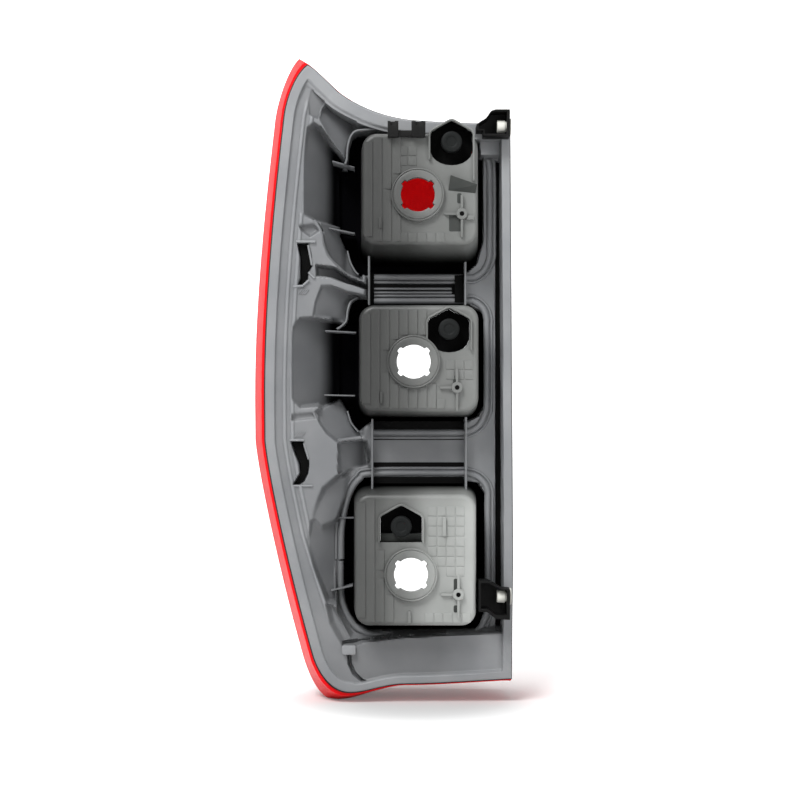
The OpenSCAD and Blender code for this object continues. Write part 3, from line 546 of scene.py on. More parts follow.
def cuboid(name: str, box: Box, y0: float, y1: float, radius: float = 0.35) -> Thing:
    """Makes a box with softened edges between two depths."""
    corner = min(radius, (box[1] - box[0]) / 2.1, (box[3] - box[2]) / 2.1)
    return slab(name, rounded(box, corner, 3), y0, y1, min(radius, 0.3))


def bake(item: Thing, angle: float) -> bpy.types.Mesh:
    """Turns an object and its modifiers into a plain mesh, sharp over an angle, and returns the mesh.

    Args:
        item: Object with modifiers.
        angle: Edges sharper than this many degrees stay sharp.

    Returns:
        The new mesh.
    """
    graph = bpy.context.evaluated_depsgraph_get()
    mesh = bpy.data.meshes.new_from_object(item.evaluated_get(graph))
    item.modifiers.clear()
    item.data = mesh
    mesh.name = item.name
    mesh.shade_smooth()
    mesh.set_sharp_from_angle(angle=math.radians(angle))
    return mesh


def carve(target: Thing, tools: Sequence[Thing], operation: str = "DIFFERENCE") -> Thing:
    """Cuts tools from a closed mesh, or keeps what they share, and removes the tools.

    Args:
        target: Closed object to cut.
        tools: Closed objects that cut it.
        operation: DIFFERENCE, or INTERSECT to keep what they share.

    Returns:
        The target.
    """
    for tool in tools:
        cut = target.modifiers.new("cut", "BOOLEAN")
        cut.operation = operation
        cut.solver = "MANIFOLD"
        cut.object = tool
    old = target.data
    mesh = bake(target, 30)
    bpy.data.meshes.remove(old)
    for tool in tools:
        bpy.data.objects.remove(tool)
    for poly in mesh.polygons:
        poly.use_smooth = abs(poly.normal.y) < 0.9995
    return target


def copy_of(item: Thing, name: str) -> Thing:
    """Returns a linked copy of an object with its own mesh."""
    twin = bpy.data.objects.new(name, item.data.copy())
    bpy.context.scene.collection.objects.link(twin)
    return twin


def bevelled_copy(node: str, name: str, width: float = 0.4) -> Thing:
    """Returns a copy of a node with merged corners and softened edges.

    Args:
        node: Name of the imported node.
        name: Name of the piece.
        width: Width of the softened edges.

    Returns:
        The object.
    """
    twin = copy_of(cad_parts[node], name)
    twin.data.materials.clear()
    weld = twin.modifiers.new("weld", "WELD")
    weld.merge_threshold = 0.00001
    flat = twin.modifiers.new("flat", "DECIMATE")
    flat.decimate_type = "DISSOLVE"
    flat.angle_limit = math.radians(1)
    soft = twin.modifiers.new("soft", "BEVEL")
    soft.width = width * MM
    soft.segments = 3
    soft.limit_method = "ANGLE"
    soft.angle_limit = math.radians(35)
    soft.use_clamp_overlap = True
    bake(twin, 35)
    return twin


class Graph:
    """Adds nodes to one node tree and wires them."""

    def __init__(self, tree: bpy.types.NodeTree) -> None:
        self.tree = tree

    def fill(self, node: bpy.types.Node, inputs: dict[str | int, object]) -> None:
        """Sets a node's inputs, and wires those that are given as sockets.

        Args:
            node: The node.
            inputs: Values or sockets, by name or number of the input.
        """
        for key, value in inputs.items():
            if isinstance(value, Socket):
                self.tree.links.new(value, node.inputs[key])
            else:
                node.inputs[key].default_value = value

    def add(self, kind: str, output: str, inputs: dict[str | int, object] | None = None,
            **settings: object) -> Socket:
        """Adds a node.

        Args:
            kind: Type of the node.
            output: Name of the output to return.
            inputs: Values or sockets for its inputs.
            settings: Its own settings, which are set first.

        Returns:
            The named output.
        """
        node = self.tree.nodes.new(kind)
        for name, value in settings.items():
            setattr(node, name, value)
        self.fill(node, inputs or {})
        return node.outputs[output]

    def math(self, operation: str, *values: object) -> Socket:
        """Returns the result of a sum on values or sockets."""
        return self.add("ShaderNodeMath", "Value", dict(enumerate(values)), operation=operation)

    def mapped(self, value: Socket, start: float, end: float, low: float = 0.0, high: float = 1.0,
               kind: str = "LINEAR") -> Socket:
        """Returns a value mapped from one range to another and held inside it."""
        ends = {"Value": value, "From Min": start, "From Max": end, "To Min": low, "To Max": high}
        return self.add("ShaderNodeMapRange", "Result", ends, interpolation_type=kind)

    def mixed(self, share: object, colour: Socket, other: object, kind: str = "MIX") -> Socket:
        """Returns a colour blended with another by a share."""
        ends = {"Factor": share, "A": colour, "B": other}
        return self.add("ShaderNodeMix", "Result", ends, data_type="RGBA", blend_type=kind)

    def axis(self, spot: Socket, name: str) -> Socket:
        """Returns one axis of a place."""
        return self.add("ShaderNodeSeparateXYZ", name, {"Vector": spot})

    def ramp(self, share: Socket, stops: Sequence[tuple[float, Triple]], kind: str = "LINEAR") -> Socket:
        """Returns the colour of a ramp with the given stops.

        Args:
            share: Place on the ramp, from 0 to 1.
            stops: Pairs of place and colour.
            kind: How the colour goes from stop to stop.

        Returns:
            The colour.
        """
        colour = self.add("ShaderNodeValToRGB", "Color", {"Fac": share})
        band = colour.node.color_ramp
        band.interpolation = kind
        while len(band.elements) < len(stops):
            band.elements.new(0.5)
        for element, (place, tone) in zip(band.elements, stops):
            element.position = place
            element.color = (*tone, 1)
        return colour

    def seen_by(self, *others: str) -> Socket:
        """Returns 1 for the camera's rays and for the other kinds named, and 0 for the rest."""
        seen = self.add("ShaderNodeLightPath", "Is Camera Ray")
        kinds = seen.node.outputs
        for other in others:
            seen = self.math("MAXIMUM", seen, kinds[f"Is {other} Ray"])
        return seen

    def relief(self, height: Socket, strength: float) -> Socket:
        """Returns the normal of a fine relief."""
        relief = {"Strength": strength, "Distance": 0.0002, "Height": height}
        return self.add("ShaderNodeBump", "Normal", relief)


def start_material(name: str) -> tuple[bpy.types.Material, Graph, bpy.types.Node, Socket]:
    """Makes a material and returns it with its graph, its shader and the object coordinates."""
    mat = bpy.data.materials.new(name)
    mat.use_nodes = True
    graph = Graph(mat.node_tree)
    return mat, graph, mat.node_tree.nodes["Principled BSDF"], graph.add("ShaderNodeTexCoord", "Object")


@dataclass(frozen=True)
class Plastic:
    """A moulded plastic: two close tones and fine grain, with painted shade and light by place where asked.

    The tone may fall to dark along Y as painted shade in deep places, be scaled along X (shade) and Z (rise)
    by pairs of place and factor as painted shade and light, and be stepped down behind the flange on the
    outboard side as painted shade.
    """

    name: str
    tone: Triple
    other: Triple
    rough: float = 0.5
    patch: float = 30.0
    grain: float = 1600.0
    bump: float = 0.12
    gloss: float = 0.4
    # painted shade: where the tone falls to dark along Y, and how dark it gets
    painted_shade_from: float | None = None
    painted_shade_to: float = 0.046
    dark: Triple = (0.004, 0.004, 0.005)
    # painted shade and light along X and Z, and painted shade behind the flange
    shade: tuple[Pair, ...] = ()
    rise: tuple[Pair, ...] = ()
    step: float = 1.0

    def build(self) -> bpy.types.Material:
        """Returns the material."""
        mat, graph, shader, spot = start_material(self.name)
        cloud = graph.add("ShaderNodeTexNoise", "Fac", {"Vector": spot, "Scale": self.patch, "Detail": 5})
        colour = graph.ramp(cloud, ((0.35, self.tone), (0.7, self.other)))
        gloss: float | Socket = self.gloss
        # painted shade: darker and less glossy with depth along Y
        if self.painted_shade_from is not None:
            fall = graph.mapped(graph.axis(spot, "Y"), self.painted_shade_from, self.painted_shade_to, kind="SMOOTHSTEP")
            colour = graph.mixed(fall, colour, (*self.dark, 1))
            gloss = graph.mapped(fall, 0.0, 1.0, self.gloss, 0.0)
        # painted shade and light: tone scaled along X and Z
        for axis, pairs in (("X", self.shade), ("Z", self.rise)):
            if pairs:
                first, last = pairs[0][0], pairs[-1][0]
                stops = [((place - first) / (last - first), (factor,) * 3) for place, factor in pairs]
                share = graph.mapped(graph.axis(spot, axis), first, last)
                colour = graph.mixed(1.0, colour, graph.ramp(share, stops, "EASE"), "MULTIPLY")
        # painted shade: darker behind the flange on the outboard side
        if self.step < 1.0:
            behind = graph.mapped(graph.axis(spot, "Y"), 0.0088, 0.0112)
            outboard = graph.mapped(graph.axis(spot, "X"), -0.02, -0.05)
            share = graph.math("MULTIPLY", behind, outboard)
            colour = graph.mixed(share, colour, (self.step, self.step, self.step, 1), "MULTIPLY")
        fine = graph.add("ShaderNodeTexNoise", "Fac", {"Vector": spot, "Scale": self.grain, "Detail": 2})
        graph.fill(shader, {
            "Base Color": colour, "Specular IOR Level": gloss,
            "Roughness": graph.mapped(cloud, 0.0, 1.0, self.rough - 0.07, self.rough + 0.07),
            "Normal": graph.relief(fine, self.bump),
        })
        return mat


@dataclass(frozen=True)
class LensPlastic:
    """A clear or coloured lens with prism lines moulded in it, clearer at its front where asked."""

    name: str
    tone: Triple
    rough: float = 0.04
    pitch: float = 260.0
    bump: float = 0.25
    clear: float = 1.0
    front_clear: float = 1.0
    gloss: float = 0.5

    def build(self) -> bpy.types.Material:
        """Returns the material."""
        mat, graph, shader, spot = start_material(self.name)
        clear: float | Socket = self.clear
        if self.front_clear != self.clear:
            clear = graph.mapped(graph.axis(spot, "Y"), 0.034, 0.058, self.clear, self.front_clear)
        wave = graph.add("ShaderNodeTexWave", "Fac", {"Vector": spot, "Scale": self.pitch},
                         wave_profile="SIN")
        graph.fill(shader, {
            "Base Color": (*self.tone, 1), "Roughness": self.rough, "IOR": 1.49, "Transmission Weight": clear,
            "Specular IOR Level": self.gloss, "Normal": graph.relief(wave, self.bump),
        })
        return mat


class Finish(Enum):
    """Every finish of the lamp, painted shade ones among them, with the record's slot that each stands for.
    """

    # painted shade: near black in the deep wells, darker behind the flange on the outboard side
    HOUSING = ("housing_grey", Plastic(
        "housing grey", (0.205, 0.212, 0.222), (0.25, 0.256, 0.264), 0.48,
        painted_shade_from=0.0285, painted_shade_to=0.04, step=0.62))
    # painted shade and light: darker with depth, towards the outboard side and on the two upper chambers
    BOWL = ("bowl_grey", Plastic(
        "bowl grey", (0.335, 0.348, 0.335), (0.4, 0.412, 0.4), 0.45,
        painted_shade_from=-0.005, painted_shade_to=0.037, dark=(0.012, 0.013, 0.012),
        shade=((-0.112, 0.14), (-0.094, 0.18), (-0.078, 0.34), (-0.05, 0.78), (-0.02, 1.0)),
        rise=((-0.27, 1.0), (-0.24, 0.5), (-0.1, 0.44), (0.0, 0.48))))
    # painted shade: the bowl's plastic in a darker tone, for the shade beside the boss ribs, on the louvre's
    # face and in the lower vent pocket
    SHADE = ("bowl_grey", Plastic("bowl shade", (0.045, 0.048, 0.046), (0.058, 0.062, 0.058), 0.6, gloss=0.1))
    # painted shadow: black that stands for the shadow in the vent pockets, boss holes, locating slots and
    # grooves
    POCKET = ("bowl_grey", Plastic("pocket black", (0.002,) * 3, (0.004,) * 3, 0.7, gloss=0.05))
    BEZEL = ("bezel_silver", Plastic("bezel silver", (0.62, 0.63, 0.64), (0.7, 0.71, 0.72), 0.3, gloss=0.8))
    RED = ("lens_red", LensPlastic(
        "lens red", (0.95, 0.006, 0.01), 0.35, clear=0.12, front_clear=0.4, gloss=0.03))
    CLEAR = ("lens_clear", LensPlastic("lens clear", (0.97, 0.98, 0.98)))
    SEAL = ("seal_black", Plastic("seal black", (0.012, 0.012, 0.013), (0.02, 0.02, 0.021), 0.7))
    REFLEX = ("reflex_red", LensPlastic("reflex red", (0.6, 0.01, 0.02), 0.1, 900.0, 0.8))
    CAP = ("cap_black", Plastic("cap black", (0.006, 0.007, 0.007), (0.01, 0.011, 0.011), 0.55, gloss=0.1))
    CLIP = ("clip_black", Plastic("clip black", (0.004,) * 3, (0.008,) * 3, 0.5, gloss=0.12))
    BRACKET = ("bracket_black", Plastic("bracket black", (0.003,) * 3, (0.006,) * 3, 0.55, gloss=0.1))
    GROMMET = ("grommet_white", Plastic("grommet white", (0.6, 0.6, 0.55), (0.72, 0.72, 0.67), 0.5))

    @property
    def slot(self) -> str:
        """The record's slot."""
        return self.value[0]

    def material(self) -> bpy.types.Material:
        """Returns the finish's material, made once."""
        recipe = self.value[1]
        return bpy.data.materials.get(recipe.name) or recipe.build()


class Repeater:
    """Places one cell at many points with a node group, and bakes the result to a plain mesh."""

    def __init__(self) -> None:
        self.group = bpy.data.node_groups.new("Repeat cell", "GeometryNodeTree")
        face = self.group.interface
        for way in ("INPUT", "OUTPUT"):
            face.new_socket("Geometry", in_out=way, socket_type="NodeSocketGeometry")
        self.cell, self.size, self.finish = (
            face.new_socket(name, in_out="INPUT", socket_type="NodeSocket" + kind).identifier
            for name, kind in (("Cell", "Object"), ("Size", "Vector"), ("Finish", "Material")))
        graph = Graph(self.group)
        points = graph.add("NodeGroupInput", "Geometry")
        given = points.node.outputs
        cell = graph.add("GeometryNodeObjectInfo", "Geometry", {"Object": given["Cell"]})
        placed = graph.add("GeometryNodeInstanceOnPoints", "Instances",
                           {"Points": points, "Instance": cell, "Scale": given["Size"]})
        real = graph.add("GeometryNodeRealizeInstances", "Geometry", {"Geometry": placed})
        painted = graph.add("GeometryNodeSetMaterial", "Geometry",
                            {"Geometry": real, "Material": given["Finish"]})
        graph.fill(self.group.nodes.new("NodeGroupOutput"), {"Geometry": painted})

    def repeat(self, name: str, spots: Array, cell: Thing, material: bpy.types.Material,
               size: Triple = (1, 1, 1)) -> Thing:
        """Returns one mesh with the cell at every spot.

        Args:
            name: Name of the piece.
            spots: Rows of x, y and z in millimetres.
            cell: Object with its mesh round the origin.
            material: Material of the copies.
            size: Scale of the cell along each axis.

        Returns:
            The baked object.
        """
        holder = mesh_object(name, spots, [])
        made = holder.modifiers.new("repeat", "NODES")
        made.node_group = self.group
        made[self.cell] = cell
        made[self.size] = size
        made[self.finish] = material
        holder.update_tag()
        bake(holder, 40)
        return holder


def dress(item: Thing, finish: Finish, *nodes: str) -> None:
    """Paints a piece, lets it ride on the lamp and hides the nodes it stands for.

    Args:
        item: The piece.
        finish: Its finish.
        nodes: Nodes that it stands for.
    """
    item.data.materials.clear()
    item.data.materials.append(finish.material())
    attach(item, "root")
    if nodes:
        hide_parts(*nodes)


@dataclass(frozen=True)
class Region:
    """Part of the housing's back that lies at its own depth under the flange."""

    path: tuple[Pair, ...]
    depth: Callable[[Array, Array], Array] | float
    soft: float = 1.6

    def lay(self, level: Array, x: Array, z: Array) -> Array:
        """Returns the levels with this region blended in."""
        share = smooth(inside(self.path, x, z) / self.soft + 0.5)
        target = self.depth(x, z) if callable(self.depth) else self.depth
        return level * (1 - share) + target * share


def slope(x0: float, d0: float, x1: float, d1: float, power: float = 1.0) -> Callable[[Array, Array], Array]:
    """Returns a depth that goes from d0 at x0 to d1 at x1."""
    return lambda x, z: d0 + (d1 - d0) * np.clip((x - x0) / (x1 - x0), 0, 1) ** power


def between(a: Pair, da: float, b: Pair, db: float,
            power: float = 1.0) -> Callable[[Array, Array], Array]:
    """Returns a depth that goes from da at place a to db at place b."""
    ex, ez = b[0] - a[0], b[1] - a[1]
    length = ex * ex + ez * ez
    return lambda x, z: da + (db - da) * np.clip(((x - a[0]) * ex + (z - a[1]) * ez) / length, 0, 1) ** power


FORMS: tuple[Region, ...] = (
    # floor under the chambers
    Region((
        (-115.1, -2.2), (-96.8, -0.1), (-21.9, 2.3), (-5.7, 2.3), (-4.7, -351.6), (-69.9, -354.8),
        (-110.9, -359.4), (-120.8, -339.6), (-123.6, -302.9), (-124.3, -274.7), (-120.8, -245.1),
        (-113.7, -239.4), (-99.6, -233.8), (-101, -218.2), (-119.3, -218.2), (-126.4, -119.4),
        (-101, -117.3), (-101, -102.5), (-115.8, -92.6), (-124.3, -71.4), (-124.3, -22),
    ), 18.0, 1.4),
    # shallow recess under the tip
    Region((
        (-141.2, 18.9), (-139.8, 26.7), (-135.2, 33), (-125.7, 22.5), (-129.2, 19.6), (-132.1, 14.7),
        (-134.2, 7.6), (-140.5, 10.1),
    ), between((-141.2, 21.8), 2.6, (-128.5, 18.9), 7.5), 1.6),
    # rounded channel from the tip's edge down to the upper chamber
    Region((
        (-123.6, 22.1), (-118.6, 16.5), (-112.3, 10.5), (-103.8, 5.9), (-89.7, 2.7), (-89.7, -0.1),
        (-108.1, -0.1), (-112.3, -4.4), (-114.4, -12.1), (-115.1, -22.7), (-122.2, -19.2), (-129.9, 0.6),
        (-133.8, 6.9), (-132.1, 14.7), (-127.8, 19.6),
    ), between((-132.1, 4.8), 3.0, (-115.1, 13.3), 23.0, 0.8), 1.7),
    # bays beside the chambers
    Region((
        (-141.6, 1.3), (-137, 3.8), (-132.8, 1.3), (-124.3, -10.7), (-115.8, -22), (-118.6, -26.2),
        (-118.6, -77.1), (-126.4, -79.2), (-132.8, -69.3), (-137.7, -62.6), (-147.2, -58.7),
        (-147.2, -48.8), (-144.4, -20.6), (-142.6, -5.1),
    ), slope(-144.8, 2.2, -122.2, 34.0), 2.6),
    Region((
        (-152.2, -138.5), (-146.9, -132.8), (-137.7, -132.5), (-119.3, -135.7), (-118.6, -144.1),
        (-118.6, -186.5), (-126.4, -198.5), (-134.9, -193.5), (-146.9, -194.9), (-152.9, -189.3),
        (-153.6, -154.7),
    ), slope(-153.2, 2.2, -122.2, 34.0), 2.6),
    Region((
        (-131.3, -269.8), (-123.6, -264.1), (-122.2, -302.9), (-122.2, -334), (-127.8, -331.2),
        (-137, -307.2), (-141.9, -288.8), (-139.1, -274.7),
    ), slope(-140.5, 3.4, -122.2, 17.0, 1.0), 3.0),
    # upper bridge: flank, valley between its arms and knee panel
    Region((
        (-136.3, -63.7), (-131.7, -70.7), (-130.3, -80.6), (-126.8, -89.1), (-120.1, -96.1),
        (-113, -101.8), (-103.8, -105.3), (-103.8, -77.1), (-118.6, -66.5),
    ), between((-132.8, -77.1), 3.5, (-115.8, -77.1), 25.0, 0.85), 2.0),
    Region((
        (-135.9, -95.4), (-123.6, -96.8), (-113, -103.9), (-101, -108.8), (-101, -111.7), (-115.1, -107.4),
        (-125.7, -103.5), (-135.6, -102.8),
    ), slope(-139.1, 13.0, -112.3, 24.0), 1.5),
    Region((
        (-132.1, -109.9), (-124.3, -110.2), (-115.1, -113.8), (-102.4, -116.9), (-112.3, -121.5),
        (-114.4, -127.2), (-115.1, -134.9), (-119.3, -132.8), (-138.1, -131.1), (-136.3, -120.8),
    ), between((-135.6, -119.4), 4.2, (-112.3, -123.7), 21.0), 1.8),
    # dark pocket over the upper slot
    Region(((-147.6, -67.9), (-137.7, -66.8), (-133.8, -70.7), (-140.2, -74.9), (-146.2, -70.7)), 6.0, 2.4),
    # lower bridge: flank beside the middle chamber, ledge and side panel
    Region((
        (-136.3, -197.8), (-133.5, -206.2), (-128.5, -213.3), (-120.8, -219.3), (-103.8, -215.4),
        (-101, -190), (-119.3, -188.6),
    ), between((-134.9, -207.6), 4.0, (-110.9, -195.6), 25.0), 2.0),
    Region((
        (-120.1, -220.4), (-115.8, -219.3), (-101, -218.9), (-101, -235.9), (-110.9, -238.7),
        (-120.1, -242.6),
    ), slope(-120.8, 8.0, -103.8, 24.0), 1.5),
    Region(((-152.9, -200.2), (-135.2, -198.8), (-134.2, -202.4), (-152.9, -204.5)), 4.4, 1.6),
    # steps at the foot of the lower bridge
    Region((
        (-130.6, -252.1), (-120.8, -244.3), (-113.7, -242.9), (-115.1, -259.2), (-120.1, -273.3),
        (-122.2, -276.1), (-132.1, -279.6), (-139.1, -271.9), (-134.9, -261.3),
    ), slope(-139.1, 2.6, -115.1, 14.0), 4.5),
    # low ground round the lower chamber's foot
    Region((
        (-123.6, -334), (-120.8, -339.6), (-110.9, -356.6), (-96.8, -359.4), (-96.8, -363.6),
        (-108.1, -366.5), (-116.5, -361.5), (-125, -346.7), (-127.8, -334),
    ), 8.0, 5.0),
    # wells round the chambers
    Region((
        (-114.1, -26.2), (-114.1, -12.1), (-111.6, -5.1), (-107.4, -1.5), (-91.1, -0.8), (-21.9, 0.6),
        (-18.4, -7.9), (-18.4, -77.1), (-22.7, -92.6), (-30.4, -99.3), (-95.4, -100), (-105.2, -101.8),
        (-110.9, -92.6), (-114.4, -84.1), (-119.7, -72.8), (-120.4, -26.2),
    ), 38.0, 1.3),
    Region((
        (-107.4, -118), (-30.4, -121.9), (-17.7, -127.9), (-16.7, -140.6), (-17, -193.5), (-21.9, -201.3),
        (-30.4, -205.2), (-97.5, -205.2), (-107.4, -212.6), (-111.6, -206.2), (-114.4, -197.8),
        (-120.1, -187.9), (-120.4, -139.2), (-114.8, -134.9), (-113.7, -127.2), (-111.6, -121.5),
    ), 38.0, 1.3),
    Region((
        (-120.1, -276.1), (-114.8, -260.6), (-112.3, -252.8), (-107.4, -247.2), (-99.6, -245.1),
        (-30.4, -247.9), (-21.9, -249.3), (-16.3, -257.8), (-15.6, -343.9), (-21.9, -353.8),
        (-99.6, -354.1), (-107.4, -350.2), (-112.3, -343.2), (-115.5, -334), (-116.9, -322.7),
        (-118.6, -302.9),
    ), 38.0, 1.3),
    # groove beside the inboard flange and shelf under the upper bracket
    Region(((-8.9, -20.6), (-5, -20.6), (-5, -351.6), (-8.9, -352.3)), 26.0, 1.1),
    Region(((-22.7, 2.7), (-2.9, 2.7), (-2.9, -17.8), (-20.5, -17.8)), 9.0, 1.3),
    # groove over the lower panel, and the panel
    Region((
        (-117.2, -360.1), (-108.1, -359), (-62.9, -355.2), (-3.6, -352.3), (-2.9, -354.5), (-62.9, -357.6),
        (-96.8, -360.1), (-108.1, -361.5), (-117.2, -362.2),
    ), 13.0, 1.3),
    Region((
        (-114.1, -367.9), (-113.4, -375.6), (-110, -383), (-103.5, -388.2), (-96.1, -389.9),
        (-96.1, -388.3), (-102.8, -386.4), (-107.8, -381.7), (-111, -375.3), (-111.7, -367.9),
    ), 9.0, 1.0),
    Region((
        (-103.8, -360.1), (-77, -357), (-3, -353.2), (-1.5, -359.4), (-2.9, -384.5), (-48.8, -386.9),
        (-96.8, -388.3), (-104.2, -385.2), (-109.1, -379.2), (-110.9, -370.7), (-109.5, -363.6),
    ), 3.4, 1.0),
    # locating slots
    Region((
        (-149.1, -79.9), (-141.5, -79.9), (-139.4, -88.1), (-139.1, -96.1), (-141.5, -100.4),
        (-141.9, -105.3), (-145.5, -109.2), (-148.3, -109.2), (-146.9, -104.6), (-146.9, -90.5),
    ), 17.6, 0.9),
    Region((
        (-153.6, -219.3), (-145.1, -219.3), (-144.2, -226), (-141.3, -231.6), (-141, -235.6),
        (-141.9, -241.5), (-144.2, -246.5), (-147.6, -249.3), (-151.8, -249.3), (-147.2, -241.5),
        (-147.6, -235.2), (-150.4, -228.8),
    ), 17.6, 0.9),
)

# lips of the wells and bridges: path, levels along it, half width and depth of the foot
LIPS = (
    ((
        (-115.5, -23.8), (-114.4, -20.6), (-113.7, -12.1), (-111.6, -4.7), (-108.1, -1.1), (-102.4, -0.1),
        (-86.9, 0.9),
    ), (5.0, 4.0, 3.5, 3.5), 0.8, 20),
    (((-114.4, -84.1), (-112.3, -91.9), (-109.1, -98.2), (-106.6, -101.1)), (16.0, 14.0), 0.6, 12),
    ((
        (-107, -117.3), (-111.6, -120.5), (-113.8, -126.5), (-114.9, -134.2), (-118.6, -138.1),
        (-121.5, -139.9),
    ), (12.0, 8.0, 7.0, 8.0), 0.8, 14),
    (((-114.4, -197.8), (-111.6, -206.2), (-106.6, -212.6)), (16.0, 15.0), 0.6, 12),
    (((-137.7, -198.5), (-134.9, -205.5), (-129.9, -213.3), (-121.1, -220)), (2.4, 2.4, 5.0), 0.7, 2),
    (((-120.8, -218.9), (-115.1, -218.2), (-104.5, -216.8)), (7.0, 9.0), 1.6, 6),
    ((
        (-137.3, -63.7), (-132.8, -71.4), (-131, -80.6), (-127.5, -89.1), (-120.4, -96.5),
        (-113.4, -102.1), (-102.4, -106.4),
    ), (2.2, 2.6, 4.0, 8.0, 12.0), 1.2, 5),
    (((-136.3, -104.2), (-126.4, -105.3), (-115.8, -109.2), (-102.4, -114.1)), (2.6, 4.5, 9.0), 1.7, 5),
)

# middle lines of the double beads: the ridges between the chambers, then the ring of each chamber
BEADS: tuple[Path, ...] = (
    ((-40.3, -112.4), (-95.4, -112.4)),
    (
        (-95.4, -104.2), (-33.2, -104.2), (-23.4, -103.5), (-16.3, -98.2), (-12.3, -89.1), (-12.1, -77.1),
        (-12.1, -27.7), (-13.5, -19.2),
    ),
    (
        (-95.4, -118.4), (-33.2, -118.4), (-23.4, -119.4), (-17, -124.4), (-14.2, -132.1), (-14.2, -140.6),
        (-14.2, -190), (-15.2, -199.2), (-19.8, -208.4), (-28.3, -213.6), (-38.2, -214.4), (-96.8, -214.4),
    ),
    (
        (-120.1, -302.9), (-119.7, -281.8), (-117.2, -266.2), (-113, -253.5), (-106.6, -245.1),
        (-96.8, -241.2), (-38.2, -240.8), (-27.6, -241.2), (-19.1, -245.1), (-13.8, -253.5),
        (-13.5, -267.6), (-13.5, -331.2), (-14.9, -343.9), (-19.8, -353.8), (-29, -357.6), (-62.9, -358.7),
        (-89.7, -358.6), (-101, -356.9), (-109.5, -352.3), (-115.1, -344.6), (-119, -335.4),
        (-120.4, -325.5), (-120.4, -304.3),
    ),
)

# painted shadow: black plates at the bottoms of the locating slots
SLOTS: tuple[Path, ...] = (
    (
        (-148.6, -80.6), (-141.9, -80.6), (-139.8, -88.1), (-139.6, -95.8), (-141.9, -100),
        (-142.4, -104.9), (-145.5, -108.8), (-147.6, -108.8), (-146.2, -104.6), (-146.2, -90.5),
    ),
    (
        (-152.9, -220), (-145.5, -220), (-144.6, -226), (-141.8, -231.6), (-141.5, -235.6),
        (-142.4, -241.5), (-144.8, -246.1), (-147.6, -248.7), (-151.1, -248.7), (-146.5, -241.5),
        (-146.9, -235.2), (-149.7, -228.8),
    ),
)

# painted shadow: black plates in the grooves between the chambers and beside the inboard flange: box and rise
# over the floor
GROOVES: tuple[tuple[Box, float], ...] = (
    ((-98.2, -31.8, -122.8, -100), 0.3),
    ((-38.2, -31.8, -120.8, -101.4), 3.0),
    ((-95.7, -31.5, -211.5, -205.2), 0.3),
    ((-95.7, -31.5, -218.4, -216.5), 0.3),
    ((-95.7, -31.5, -237.6, -234.3), 0.3),
    ((-95.7, -31.5, -249.3, -244.6), 0.3),
    ((-8.5, -5.1, -350.2, -20.6), -3.5),
)

# light bars and thin ribs at the locating slots: two ends, half width and level
BARS = (
    ((-149.7, -78.9), (-136.3, -79), 0.9, 0.8),
    ((-151.8, -110.5), (-144.8, -110), 0.9, 0.8),
    ((-144.8, -109.5), (-140.9, -106), 0.8, 0.8),
    ((-154.3, -218.2), (-144.4, -218.2), 0.8, 1.2),
    ((-151.8, -250.2), (-138.4, -250.2), 0.7, 1.2),
    ((-141.4, -81.3), (-138.8, -95.4), 0.8, 1.6),
    ((-144.4, -220.4), (-141, -231.6), 0.8, 1.8),
    ((-141.2, -100.4), (-137, -104.6), 0.8, 1.2),
)

# gussets between the outboard wall and the chambers: two ends and the level of the first
GUSSETS = (
    ((-124.6, -21.9), (-109.2, -25.8), 6.0), ((-127.5, -68.6), (-109.1, -72.1), 9.0),
    ((-129.6, -141.3), (-108.1, -142.4), 6.0), ((-130.3, -186.5), (-109.1, -187), 9.0),
    ((-120.8, -273.6), (-109.3, -273.9), 14.0), ((-125.7, -324.7), (-110.5, -321.7), 10.0),
)
# upright tie ribs: X, bottom and top
TIES = ((-98.9, -122.9, -88.4), (-30.9, -122.9, -92.6), (-96.6, -253.5, -203.4), (-30.4, -253.5, -202))
# ribs of the slanted hatching beside the locating slots
HATCHES: Path = (
    (-146.9, -113.8), (-145.5, -114.1), (-144.1, -114.2), (-142.6, -114.1),
    (-149.3, -214), (-147.9, -214), (-146.5, -214), (-145.1, -214),
)


